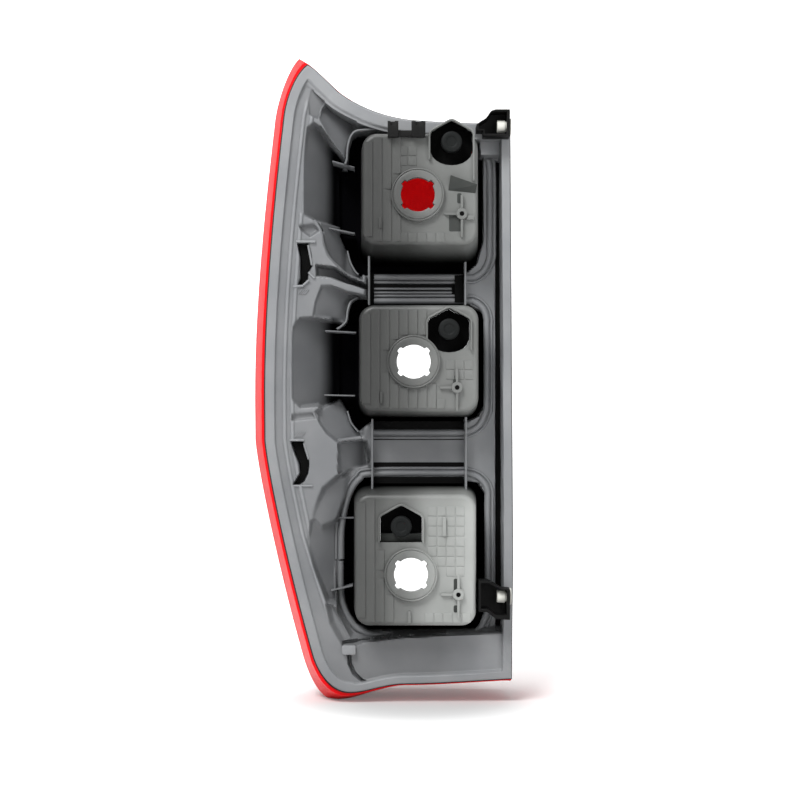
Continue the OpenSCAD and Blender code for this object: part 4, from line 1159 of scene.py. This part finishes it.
@dataclass
class Housing:
    """The grey moulding: one fine sheet with its lips, beads, ribs and bars."""

    row_step: float = 0.85
    back: float = 2.3
    inboard_flange: float = 6.6
    low_flange: float = 5.0
    top_steps: Pair = (8.2, 11.3)
    edge_round: float = 0.9
    window_radius: float = 9.0
    lips: list[Thing] = field(default_factory=list)

    def edge_levels(self, x: Array, z: Array) -> tuple[Array, Array, Array]:
        """Returns the levels of flange and ridges, and the distances to the whole edge and to the top.

        Args:
            x: Places along X, as a grid.
            z: Places along Z, as a grid of the same shape.

        Returns:
            The levels, and the distances to the whole edge and to the top.
        """
        left = distance_to(OUTLINE.chain(3, 5, 16), x, z)
        top = distance_to(OUTLINE.chain(0, 3, 14), x, z)
        right = distance_to(OUTLINE.chain(10, 2, 2), x, z)
        low = distance_to(OUTLINE.chain(8, 2, 12), x, z)
        level = np.full(x.shape, self.back)
        # two ridges run down the outboard side and bend away from it at the foot
        low_end = smooth((z + 300) / 30)
        for place, half, height in ((13.4, 1.5, 1.5), (18.8, 1.5, 1.4)):
            shift = (1 - low_end) * np.clip((-z - 285) * 0.075, 0, 9)
            bump = np.clip(1 - (np.abs(left - place - shift) / half) ** 2, 0, 1)
            fade = smooth((z + 352) / 18) * smooth((22 - z) / 10)
            level = level - height * np.sqrt(bump) * fade
        flange = np.minimum(np.minimum(left - FLANGE, right - self.inboard_flange), low - self.low_flange)
        level = level * smooth(flange / 0.9)
        first, second = self.top_steps
        step = smooth((top - first) / 0.7) * 0.7 + smooth((top - second) / 1.0)
        level = np.minimum(level, self.back * step)
        edge = np.minimum(np.minimum(left, right), np.minimum(top, low))
        return level, edge, top

    def sheet(self) -> Thing:
        """Returns the fine back sheet with the chambers' windows left out."""
        v = OUTLINE.even_shares(self.row_step)
        v[0], v[-1] = 0.0, 5.0
        bands = ((4, 0.25), (96, 0.62), (76, 1.3), (36, 0.5), (3, 0.25))
        width = np.concatenate([np.full(count, size) for count, size in bands])
        s = np.concatenate([[0], np.cumsum(width)])
        grid_v, grid_s = np.meshgrid(v, s / s[-1], indexing="ij")
        flat = OUTLINE.patch(grid_s, grid_v, bulge=True)
        x, z = flat[..., 0], flat[..., 1]
        level, edge, top = self.edge_levels(x, z)
        inner = smooth((edge - 6.0) / 0.8)
        formed = level
        for region in FORMS:
            formed = region.lay(formed, x, z)
        formed = level * (1 - inner) + formed * inner
        formed = np.where(top < self.top_steps[1], np.minimum(formed, level), formed)
        formed = formed + self.edge_round * (1 - turn(edge, self.edge_round))
        keep = np.ones(x.shape, bool)
        for plan in PLANS.values():
            hole = inside(rounded(grow(plan.base, -1.4), self.window_radius, 5), x, z)
            keep &= hole < 1.0
            # points just inside the window are pulled out to its edge
            pull = np.where((hole > -1.1) & (hole < 1.3), np.maximum(hole, 0), 0.0)
            left, right, low, high = plan.base
            away = np.stack([x - (left + right) / 2, z - (low + high) / 2], -1)
            away = away / np.maximum(np.hypot(away[..., 0], away[..., 1])[..., None], 1e-6)
            x, z = x + away[..., 0] * pull, z + away[..., 1] * pull
        points = np.stack([x, D.rim + formed, z], -1)
        cell = keep[:-1, :-1] & keep[1:, :-1] & keep[:-1, 1:] & keep[1:, 1:]
        return mesh_object("housing_sheet", points.reshape(-1, 3), quads(*x.shape)[cell], 70)

    def edge_wall(self) -> Thing:
        """Returns the flange's edge and the wall that the lens goes round."""
        steps = ((0.0, D.rim + 0.85), (0.0, D.rim + D.wall), (4.2, D.rim + D.wall), (4.2, D.floor + D.wall))
        return loft("housing_edge", [at_depth(OUTLINE.closed(depth), y) for depth, y in steps], capped=False)

    def lip(self, path: Path, level: float | Sequence[float], half: float, bottom: float) -> None:
        """Adds a thin wall with a rounded top along a path.

        Args:
            path: Points that its middle line goes through.
            level: Level of its top, one for all or some spread along it.
            half: Half its width.
            bottom: Depth of its foot under the top.
        """
        curve = through(path)
        top = np.asarray(level, float)
        if top.ndim:
            top = np.interp(np.linspace(0, 1, len(curve)), np.linspace(0, 1, len(top)), top)
        profile = [(-half, bottom), *half_round(half, half, 30, lift=half), (half, bottom)]
        self.lips.append(sweep("lip", curve, D.rim + top, profile))

    def details(self) -> None:
        """Adds the lips, beads, gussets and tie ribs."""
        for path, levels, half, bottom in LIPS:
            self.lip(path, levels, half, bottom)
        ridges, upper, middle, lower = BEADS
        for path, pair in (
            (ridges, ((-1.35, 1.0, 1.6), (1.35, 1.0, 1.6))), (upper, ((-1.3, 2.3, 2.6), (2.3, 1.15, 1.9))),
            (middle, ((1.3, 2.3, 2.6), (-2.3, 1.15, 1.9))), (lower, ((1.3, 2.3, 2.6), (-2.3, 1.15, 1.9))),
        ):
            for offset, half, height in pair:
                profile = half_round(half, height, 15, offset)
                self.lips.append(sweep("bead", through(path), D.floor + 0.4, profile))
        for a, b, top in GUSSETS:
            self.lip(with_middle(a, b), [top, top + 3.5], 0.55, 24)
        for x, low, high in TIES:
            self.lip(with_middle((x, low), (x, high)), 8.0, 0.75, 14)

    def bars(self) -> list[Thing]:
        """Returns the light bars and thin ribs at the locating slots, and the tab at the panel."""
        made = []
        for a, b, half, level in BARS:
            profile = [(-half, 7), *half_round(half, half, 30), (half, 7)]
            made.append(sweep("bar", np.array(with_middle(a, b)), D.rim + level + 0.5, profile))
        made.append(cuboid("tab", (-117.6, -108.1, -368.4, -361.9), D.rim - 0.6, D.rim + 8, 1.2))
        return made

    def shadows(self) -> Thing:
        """Returns black plates at the bottoms of the locating slots and of the grooves, a painted shadow."""
        made = [slab("shadow", np.array(path), D.rim + 6.0, D.rim + 7.0) for path in SLOTS]
        made += [cuboid("shadow", box, D.floor - rise, D.floor + 4.5, 0.1) for box, rise in GROOVES]
        return join("slot_shadows", made)

    def hatch(self, repeater: Repeater) -> Thing:
        """Returns the slanted hatching beside the locating slots.

        Args:
            repeater: What places the copies.

        Returns:
            The object.
        """
        rib = cuboid("rib_cell", (-0.35, 0.35, -2.4, 2.4), -0.4, 2.0, 0.15)
        rib.data.transform(Matrix.Rotation(math.radians(42), 4, "Y"))
        spots = np.array([(x, D.rim + 2.0, z) for x, z in HATCHES])
        made = repeater.repeat("slot_hatch", spots, rib, Finish.HOUSING.material())
        bpy.data.objects.remove(rib)
        return made

    def build(self, repeater: Repeater) -> None:
        """Builds the housing's pieces."""
        self.details()
        dress(join("housing_body", [self.sheet(), self.edge_wall()]), Finish.HOUSING, "housing")
        dress(join("housing_ribs", self.lips + self.bars()), Finish.HOUSING, "housing")
        dress(self.hatch(repeater), Finish.HOUSING, "housing")
        dress(self.shadows(), Finish.POCKET, "housing")


@dataclass
class Reflector:
    """A bulb chamber: drafted bowl, bulb collar, vent pocket, screw boss, flutes and pads."""

    plan: ChamberPlan
    bore_radius: float = 11.7
    notch: float = 1.8
    collar_height: float = 3.6
    boss_height: float = 3.4
    pocket_half: float = 14.6
    pocket_depth: float = 13.0
    flute_pitch: float = 6.5
    pad_pitch: Pair = (6.45, 6.95)

    @property
    def chamber(self) -> Chamber:
        """Which chamber this is."""
        return next(chamber for chamber, plan in PLANS.items() if plan is self.plan)

    def pocket(self, by: float) -> Array:
        """Returns the vent pocket's house-shaped outline, grown by a distance, clockwise from behind.

        Args:
            by: Distance that it is grown by.

        Returns:
            Rows of x and z.
        """
        w, (x, z) = self.pocket_half + by, self.plan.vent
        right = [(x + w, z + 5.4), (x + w, z - 7)]
        arc = [(x + (w - 0.2) * math.cos(math.radians(a)), z - 6 + (w - 4.5) * math.sin(math.radians(a)))
               for a in range(-10, -171, -16)]
        if self.chamber is Chamber.LOWER:
            arc = [(x + w, z - 10.9 - by), (x - w, z - 10.9 - by)]
        left = [(x - w, z - 7), (x - w, z + 5.4), (x - w * 0.9, z + 7.6), (x - 1.6, z + 13.6 + by),
                (x, z + 14.2 + by), (x + 1.6, z + 13.6 + by), (x + w * 0.9, z + 7.6)]
        return np.array(right + arc + left)[::-1]

    def shell(self) -> Thing:
        """Returns the bowl with its bore and pocket cut."""
        face, base = self.plan.face, self.plan.base
        edge, wall, back = 3.4, 1.0, D.seat + 2
        rings = []
        for a in range(0, 91, 15):
            angle = math.radians(a)
            cut = edge * (1 - math.sin(angle))
            rings.append(at_depth(rounded(grow(face, -cut), 10 - cut), D.face + edge * (1 - math.cos(angle))))
        for inset, radius, start, shares in (
            (0, 10, edge, (0.35, 0.7, 1.0)), (-2, 8, edge + wall, (1.0, 0.5, 0.0)),
        ):
            for share in shares:
                box = tuple(f + (b - f) * share for f, b in zip(face, base))
                y = D.face + start + (back - D.face - start) * share
                rings.append(at_depth(rounded(grow(box, inset), radius), y))
        rings.append(at_depth(rounded(grow(face, -4.5), 6), D.face + 2))
        body = loft("bowl", rings[::-1], angle=30)
        bore = slab("bore_tool", self.bore(96)[::-1], D.face - 6, D.face + 6)
        pocket = slab("pocket_tool", self.pocket(0)[::-1], D.face - 5, D.face + self.pocket_depth)
        return carve(body, [bore, pocket])

    def bore(self, steps: int) -> Array:
        """Returns the notched outline of the bulb bore.

        Args:
            steps: Count of its points.

        Returns:
            Rows of x and z.
        """
        x, z = self.plan.bulb
        out = []
        for i in range(steps):
            a = 360 * i / steps
            near = min(abs((a - n + 180) % 360 - 180) for n in (-40, -140, -220, -320))
            r = self.bore_radius + self.notch * float(smooth(np.array((10.5 - near) / 2.4)))
            out.append((x + r * math.cos(math.radians(a)), z + r * math.sin(math.radians(a))))
        return np.array(out)

    def collar(self) -> Thing:
        """Returns the bulb collar with rounded edges."""
        steps = 192
        hole, centre = self.bore(steps), np.array(self.plan.bulb)
        angles = np.radians(360 * np.arange(steps) / steps)
        out = np.stack([np.cos(angles), np.sin(angles)], 1)
        top = D.face - self.collar_height
        rings = [at_depth(hole + out * grown, y) for grown, y in
                 ((0.0, D.face + 2.2), (0.0, top + 0.5), (0.15, top + 0.15), (0.5, top))]
        rings += [at_depth(centre + out * r, y) for r, y in (
            (16.2, top), (16.6, top + 0.15), (16.75, top + 0.55), (17.1, top + 0.7), (17.3, top + 0.35),
            (17.7, top + 0.1), (18.1, top + 0.25), (18.4, top + 0.7), (18.4, D.face + 0.5))]
        return loft("collar", rings, False, 40)

    def walls(self) -> list[Thing]:
        """Returns the vent pocket's cup and the splash wall round its roof."""
        x, z = self.plan.vent
        left, right = self.plan.wall_legs
        w = self.pocket_half + 0.7
        path = [(x - w, z - left), (x - w, z + 5.6), (x - w * 0.9, z + 8.0), (x - 1.8, z + 14.6),
                (x, z + 15.1), (x + 1.8, z + 14.6), (x + w * 0.9, z + 8.0), (x + w, z + 5.6),
                (x + w, z - right)]
        fine = []
        for (ax, az), (bx, bz) in zip(path, path[1:]):
            steps = max(2, int(math.hypot(bx - ax, bz - az) / 2))
            fine += [(ax + (bx - ax) * i / steps, az + (bz - az) * i / steps) for i in range(steps)]
        fine.append(path[-1])
        profile = [(-0.7, 3), (-0.7, -2.6), (-0.45, -2.95), (0, -3.1), (0.45, -2.95), (0.7, -2.6), (0.7, 3)]
        cup = ((1.0, D.face + 13.5), (1.0, D.face + 0.3), (0.1, D.face - 0.02), (0.1, D.face + 0.8))
        return [sweep("splash", np.array(fine), D.face, profile, 40),
                loft("cup", [at_depth(self.pocket(by), y) for by, y in cup], capped=False)]

    def painted_shade_parts(self) -> Thing:
        """Returns black pieces inside the vent pocket and in the boss hole, a painted shadow."""
        x, z = self.plan.boss
        turns = [math.pi / 12 * i for i in range(24)]
        disc = np.array([(x + 1.55 * math.cos(a), z + 1.55 * math.sin(a)) for a in turns])
        inside_wall = ((0.06, D.face - 0.1), (0.0, D.face + 13.3))
        parts = [slab("floor", self.pocket(-0.1), D.face + 12.4, D.face + self.pocket_depth),
                 loft("inside", [at_depth(self.pocket(by), y) for by, y in inside_wall], capped=False),
                 slab("hole", disc, D.face - 3.32, D.face - 2)]
        return join(self.plan.node + "_dark", parts)

    def painted_shade_plates(self) -> Thing:
        """Returns dark plates on the face beside the boss's rib, a painted shadow of the rib."""
        boxes = {
            Chamber.UPPER: [(-37.5, -34.4, -54.1, -47.1), (-43.1, -34.4, -73.5, -61.2)],
            Chamber.MIDDLE: [(-40.3, -37.6, -179.4, -173.1)],
            Chamber.LOWER: [(-39.9, -36.9, -325.2, -313.5), (-39.9, -36.9, -336.8, -331.9)],
        }[self.chamber]
        parts = [slab("recess", rounded(box, 1.0, 3), D.face - 0.1, D.face + 0.5) for box in boxes]
        return join(self.plan.node + "_recesses", parts)

    def boss(self) -> list[Thing]:
        """Returns the screw boss with its rib cross."""
        x, z = self.plan.boss
        top = D.face - self.boss_height
        profile = [(1.5, 4), (1.5, 0.3), (1.8, 0), (3.5, 0), (3.9, 0.35), (3.9, 4)]
        return [revolve("boss", profile, (x, top, z), steps=40),
                cuboid("rib", (x - 0.8, x + 0.8, z - 16, z + 13), top + 0.6, D.face + 1, 0.3),
                cuboid("arm", (x - 12, x, z - 0.8, z + 0.8), top + 1.0, D.face + 1, 0.3)]

    def flutes(self, repeater: Repeater) -> list[Thing]:
        """Returns the slanted flutes along the outboard side.

        Args:
            repeater: What places the copies.

        Returns:
            One object for each stretch.
        """
        left, _, low, high = self.plan.face
        profile = ((-2.9, 0.6), (-2.9, -0.1), (2.2, -0.95), (2.7, -0.7), (2.9, 0.6))
        points = np.array([(x, y, z) for z in (-0.5, 0.5) for x, y in profile])
        sides = [(i, (i + 1) % 5, (i + 1) % 5 + 5, i + 5) for i in range(5)]
        flute = mesh_object("flute_cell", points, sides + [(4, 3, 2, 1, 0), (5, 6, 7, 8, 9)], 20)
        made = []
        for n in range(self.plan.flutes):
            x = left + 4.45 + self.flute_pitch * n
            inset = 6.0 if n == 0 else 3.0
            for z0, z1 in self.free_stretches(x, low + inset, high - inset):
                spots = np.array([(x, D.face - 0.05, (z0 + z1) / 2)])
                made.append(repeater.repeat("flutes", spots, flute, Finish.BOWL.material(), (1, 1, z1 - z0)))
        bpy.data.objects.remove(flute)
        return made

    def pads(self, repeater: Repeater) -> Thing:
        """Returns the grid of squares.

        Args:
            repeater: What places the copies.

        Returns:
            The object.
        """
        pad = cuboid("pad_cell", (-2.95, 2.95, -3.2, 3.2), -0.32, 0.6, 0.5)
        step_x, step_z = self.pad_pitch
        spots = [(x, D.face - 0.05, z) for x0, x1, z0, z1 in self.plan.pad_areas
                 for x in np.arange(x0 + 3.2, x1 - 2.6, step_x) for z in np.arange(z0 + 3.4, z1 - 2.6, step_z)
                 if self.clear_of_forms(x, z)]
        made = repeater.repeat("pads", np.array(spots), pad, Finish.BOWL.material())
        bpy.data.objects.remove(pad)
        return made

    def free_stretches(self, x: float, low: float, high: float) -> list[Pair]:
        """Returns the stretches of a flute at x that stand clear of the collar and the pocket.

        Args:
            x: Place of the flute's middle line.
            low: Lowest place.
            high: Highest place.

        Returns:
            Pairs of bottom and top.
        """
        bulb, vent = self.plan.bulb, self.plan.vent
        side = x + (2.9 if x < bulb[0] else -2.9)
        out: list[Pair] = []
        start = None
        for z in np.arange(low, high + 0.5, 0.5):
            free = (math.hypot(side - bulb[0], z - bulb[1]) > 18.6
                    and not (abs(x - vent[0]) < 17.0 and -16.5 < z - vent[1] < 16.0))
            if free and start is None:
                start = float(z)
            if start is not None and (not free or z >= high):
                if z - start > 4:
                    out.append((start, float(min(z, high))))
                start = None
        return out

    def clear_of_forms(self, x: float, z: float) -> bool:
        """Returns True where a pad would stand clear of the collar, pocket and boss."""
        bulb, vent, boss = self.plan.bulb, self.plan.vent, self.plan.boss
        return (math.hypot(x - bulb[0], z - bulb[1]) > 21.5
                and not (abs(x - vent[0]) < 19 and -19 < z - vent[1] < 18)
                and math.hypot(x - boss[0], z - boss[1]) > 6.5)

    def build(self, repeater: Repeater) -> None:
        """Builds the chamber's pieces."""
        node = self.plan.node
        extras = [self.collar(), *self.walls(), *self.boss(), *self.tabs()]
        dress(join(node + "_bowl", [self.shell(), *extras]), Finish.BOWL, node)
        dress(join(node + "_pads", [*self.flutes(repeater), self.pads(repeater)]), Finish.BOWL, node)
        # painted shadow: black pieces in the vent pocket and the boss hole
        dress(self.painted_shade_parts(), Finish.POCKET, node)
        # painted shade: dark plates beside the boss rib
        dress(self.painted_shade_plates(), Finish.SHADE, node)
        # painted shade: the louvre's face, which looks down, gets the darker shade finish
        if self.chamber is Chamber.UPPER:
            dress(self.louvre(), Finish.SHADE, node)
        if self.chamber is Chamber.LOWER:
            # painted shade: a dark ledge inside the lower vent pocket
            x, z = self.plan.vent
            box = (x - 14.4, x + 14.4, z - 10.8, z - 5.4)
            dress(cuboid("pocket_ledge", box, D.face + 8, D.face + self.pocket_depth), Finish.SHADE, node)

    def louvre(self) -> Thing:
        """Returns the slanted louvre, whose face looks down."""
        corners = ((-42.1, -35.2), (-23.9, -41.6), (-24.8, -47.1), (-43.6, -45.2))
        lift = (5.0, 5.0, 0.0, 0.0)
        low = [(x, D.face + 0.6, z) for x, z in corners]
        high = [(x, D.face - up, z) for (x, z), up in zip(corners, lift)]
        faces = [(0, 1, 2, 3), (7, 6, 5, 4), (0, 4, 5, 1), (1, 5, 6, 2), (2, 6, 7, 3), (3, 7, 4, 0)]
        return mesh_object("louvre", np.array(low + high), faces, 20)

    def tabs(self) -> list[Thing]:
        """Returns the small tabs on this chamber's face."""
        boxes = {
            Chamber.UPPER: [(-91.5, -89.6, -71.6, -64.1), (-31, -26, -65.6, -62.6)],
            Chamber.MIDDLE: [(-90.8, -89, -192.4, -184.4)],
            Chamber.LOWER: [(-47.6, -45, -284, -271), (-71.5, -69.5, -344, -336)],
        }[self.chamber]
        made = [cuboid("tab", box, D.face - 2, D.face + 1, 0.4) for box in boxes]
        if self.chamber is Chamber.UPPER:
            made.append(cuboid("clip_seat", (-84.5, -60.5, -8.6, -3.6), D.face - 1, D.face + 9, 0.6))
        return made


@dataclass
class Lens:
    """The outer lens: a deep shell, red but for the windows of the two lower chambers."""

    rows: int = 190
    cols: int = 110
    height: float = 449.0
    spread: float = 1.2

    def grid(self, depth: float, front: float) -> Array:
        """Returns the points of one face of the shell.

        Args:
            depth: Distance inward from the outline.
            front: Depth of the face's front.

        Returns:
            Points as rows and columns of x, y and z.
        """
        v = np.concatenate([[0, 0], OUTLINE.even_shares(self.height / self.rows)[1:-1], [5, 5]])
        v[1], v[-2] = 0.002, 4.998
        t = np.linspace(0, 1, self.cols)
        s = np.concatenate([[0, 0.0005], (t**1.5 * (1 - 0.12) + 0.12 * t)[1:-1], [0.9995, 1]])
        gv, gs = np.meshgrid(v, s, indexing="ij")
        border = np.zeros(gv.shape, bool)
        border[[0, -1], :] = True
        border[:, [0, -1]] = True
        wide = OUTLINE.patch(gs, gv, depth, D.lens_swell + self.spread)
        edge = OUTLINE.patch(gs, gv, depth, D.lens_swell * 0.35)
        flat = np.where(border[..., None], edge, wide)
        side = turn(gs * D.width, 52) * turn((1 - gs) * D.width, 9)
        ends = turn(np.where(gv < 1, gv * 33, 100), 18) * turn(np.where(gv > 4, (5 - gv) * 30, 100), 18)
        level = D.lens_wide + (front - 6 * gs**2 - D.lens_wide) * side * ends
        level = np.where(border, D.lens_edge, level)
        return np.stack([flat[..., 0], level, flat[..., 1]], -1)

    def shell(self) -> Thing:
        """Returns the closed shell."""
        outer, inner = self.grid(0.0, D.lens_front), self.grid(D.lens_wall, D.lens_front - D.lens_wall)
        rows, cols = outer.shape[:2]
        number = np.arange(rows * cols).reshape(rows, cols)
        back = quads(rows, cols).reshape(-1, 4)
        front = back[:, ::-1] + rows * cols
        ring = np.concatenate([number[0, :], number[1:, -1], number[-1, -2::-1], number[-2:0:-1, 0]])
        nxt = np.roll(ring, -1)
        seam = np.stack([ring, ring + rows * cols, nxt + rows * cols, nxt], -1)
        points = np.vstack([inner.reshape(-1, 3), outer.reshape(-1, 3)])
        return mesh_object("lens", points, np.vstack([back, front, seam]), 60)

    def window(self, plan: ChamberPlan) -> Thing:
        """Returns the block that a clear window fills."""
        path = rounded(grow(plan.base, (8, 8, 6, 6)), 10)
        return slab("window", path[::-1], D.lens_wide + 4, D.lens_front + 10)

    def build(self) -> None:
        """Builds the red lens and its two clear windows."""
        whole = self.shell()
        clear = [(PLANS[Chamber.MIDDLE], "middle_clear_lens"), (PLANS[Chamber.LOWER], "lower_clear_lens")]
        for plan, node in clear:
            part = carve(copy_of(whole, node + "_fine"), [self.window(plan)], "INTERSECT")
            dress(part, Finish.CLEAR, node)
        red = carve(whole, [self.window(plan) for plan, _ in clear])
        red.name = "red_lens_fine"
        dress(red, Finish.RED, "red_lens")


@dataclass
class Trim:
    """Seal, bezel, reflex reflector, vent caps, clip, brackets and grommets."""

    def seal(self) -> None:
        """Builds the dark line between lens and flange."""
        steps = ((2.6, 0.0, D.rim + D.wall), (-0.5, 0.5, D.rim + D.wall), (-0.5, 0.5, D.lens_edge),
                 (2.6, 0.0, D.lens_edge))
        rings = [at_depth(OUTLINE.closed(depth, swell), y) for depth, swell, y in steps]
        dress(loft("lens_seal_fine", rings, capped=False), Finish.SEAL, "lens_seal")

    def caps(self) -> None:
        """Builds the three vent caps."""
        profile = [(0.0, 0.5), (3.2, 0.5), (3.6, 0.15), (4.4, 0.0), (6.2, 0.0), (6.8, 0.3), (7.0, 0.75),
                   (7.25, 1.0), (7.3, 1.6), (7.3, 7.8), (7.0, 8.4), (0.0, 8.4)]
        for chamber, plan in PLANS.items():
            x, z = plan.vent
            node = f"vent_cap_{chamber.name.lower()}"
            dress(revolve(node + "_fine", profile, (x, D.face - 2.6, z)), Finish.CAP, node)

    def grommets(self) -> None:
        """Builds the white grommets in the brackets."""
        profile = [(3.1, -9.5), (4.0, -9.5), (4.4, -9.1), (4.4, -4.2), (3.7, -3.9), (3.7, -0.9), (5.3, -0.9),
                   (5.8, -0.5), (5.8, 0.0), (5.5, 0.3), (3.5, 0.3), (3.1, 0.0), (3.1, -9.5)]
        for node, z in (("upper_grommet", 0.0), ("lower_grommet", -326.5)):
            dress(revolve(node + "_fine", profile, (0, 0, z), "X"), Finish.GROMMET, node)

    def bevelled(self) -> None:
        """Builds the pieces that only need softened edges."""
        for node, finish, width in (
            ("upper_bracket", Finish.BRACKET, 0.35), ("lower_bracket", Finish.BRACKET, 0.35),
            ("harness_clip", Finish.CLIP, 0.4), ("inner_bezel", Finish.BEZEL, 0.3),
            ("reflex_reflector", Finish.REFLEX, 0.5),
        ):
            dress(bevelled_copy(node, node + "_fine", width), finish, node)

    def build(self) -> None:
        """Builds every piece of trim."""
        self.seal()
        self.caps()
        self.grommets()
        self.bevelled()


@dataclass(frozen=True)
class Studio:
    """White floor, soft lamps and the photograph's camera.

    The floor lies at the depth low under the origin. The world's even light is ambient, and white
    only to the camera and in what mirrors or clears it.
    """

    distance: float = 1192.0
    look: Pair = (-77.0, -190.0)
    lens: float = 77.1
    low: float = -402.5
    ambient: float = 0.24

    def white(self, name: str, glow: float, tone: float) -> bpy.types.Material:
        """Returns a white ground that the camera sees as nearly white and that keeps shadows, with a painted
        contact shadow round the lamp's foot.

        Args:
            name: Name of the material.
            glow: Light of its own that only the camera and clear pieces see, far from the lamp.
            tone: How white it is. It is painted darker close round the lamp's foot, a painted contact shadow.

        Returns:
            The material.
        """
        mat, graph, shader, spot = start_material(name)
        cloud = graph.add("ShaderNodeTexNoise", "Fac", {"Vector": spot, "Scale": 3.0})
        tint = graph.mapped(cloud, 0.0, 1.0, tone - 0.005, tone + 0.005)
        # painted contact shadow: the tone is darker and the glow lower close round the lamp's foot
        foot = (-0.066, 0.02, self.low * MM)
        away = graph.add("ShaderNodeVectorMath", "Value", {0: spot, 1: foot}, operation="DISTANCE")
        near = graph.mapped(away, 0.035, 0.13, 0.56, 1.0, "SMOOTHSTEP")
        seen = graph.seen_by("Transmission")
        graph.fill(shader, {
            "Roughness": 0.9, "Specular IOR Level": 0.0, "Emission Color": (1, 1, 1, 1),
            "Base Color": graph.math("MULTIPLY", tint, near),
            "Emission Strength": graph.math("MULTIPLY", seen, graph.mapped(away, 0.06, 0.3, 0.12, glow)),
        })
        return mat

    def ground(self) -> None:
        """Builds the floor and the backdrop that it runs up into."""
        depth, bend, side = 900, 500, 2600.0
        profile = [(-1500, 0.0), (depth, 0.0)]
        for a in range(10, 91, 10):
            angle = math.radians(a)
            profile.append((depth + bend * math.sin(angle), bend - bend * math.cos(angle)))
        profile.append((depth + bend, 2200))
        points = [(x, y, self.low + h) for x in (-side, side) for y, h in profile]
        n = len(profile)
        faces = [(i, i + 1, n + i + 1, n + i) for i in range(n - 1)]
        floor = mesh_object("studio_floor", np.array(points), faces, 80)
        floor.data.materials.append(self.white("studio white", 0.7, 0.97))

    def lamp(self, name: str, place: Triple, power: float, size: float) -> None:
        """Adds a square soft lamp that faces the object.

        Args:
            name: Name of the lamp.
            place: Place in millimetres.
            power: Power in watts.
            size: Length of its side in metres.
        """
        data = bpy.data.lights.new(name, "AREA")
        data.energy = power
        data.size = size
        made = bpy.data.objects.new(name, data)
        made.location = Vector(place) * MM
        aim = Vector((-80, 10, -180)) * MM - made.location
        made.rotation_mode = "QUATERNION"
        made.rotation_quaternion = aim.to_track_quat("-Z", "Y")
        bpy.context.scene.collection.objects.link(made)

    def world(self) -> None:
        """Sets the even light."""
        world = bpy.data.worlds.new("studio")
        bpy.context.scene.world = world
        world.use_nodes = True
        graph = Graph(world.node_tree)
        seen = graph.seen_by("Glossy", "Transmission")
        level = graph.math("MULTIPLY_ADD", seen, 1.0 - self.ambient, self.ambient)
        graph.fill(world.node_tree.nodes["Background"], {"Color": (1, 1, 1, 1), "Strength": level})

    def camera(self) -> None:
        """Places the camera where the photograph's stood."""
        data = bpy.data.cameras.new("camera")
        data.lens = self.lens
        data.sensor_width = 36
        data.clip_end = 20
        made = bpy.data.objects.new("camera", data)
        made.location = Vector((self.look[0], -self.distance, self.look[1])) * MM
        made.rotation_euler = (math.radians(90), 0, 0)
        bpy.context.scene.collection.objects.link(made)
        bpy.context.scene.camera = made

    def build(self) -> None:
        """Builds the whole studio."""
        self.camera()
        self.ground()
        self.world()
        self.lamp("key", (-560, -850, 900), 23, 0.6)
        self.lamp("top", (-160, 150, 1400), 8, 0.5)
        self.lamp("fill", (700, -1100, 100), 5, 0.9)
        bpy.context.scene.view_settings.view_transform = "Standard"


def main() -> None:
    """Builds the scene in order and reports each piece."""
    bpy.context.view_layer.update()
    Studio().build()
    log.info("studio")
    repeater = Repeater()
    Housing().build(repeater)
    log.info("housing")
    for plan in PLANS.values():
        Reflector(plan).build(repeater)
        log.info(plan.node)
    Lens().build()
    log.info("lens")
    Trim().build()
    log.info("trim")


if __name__ == "__main__":
    main()
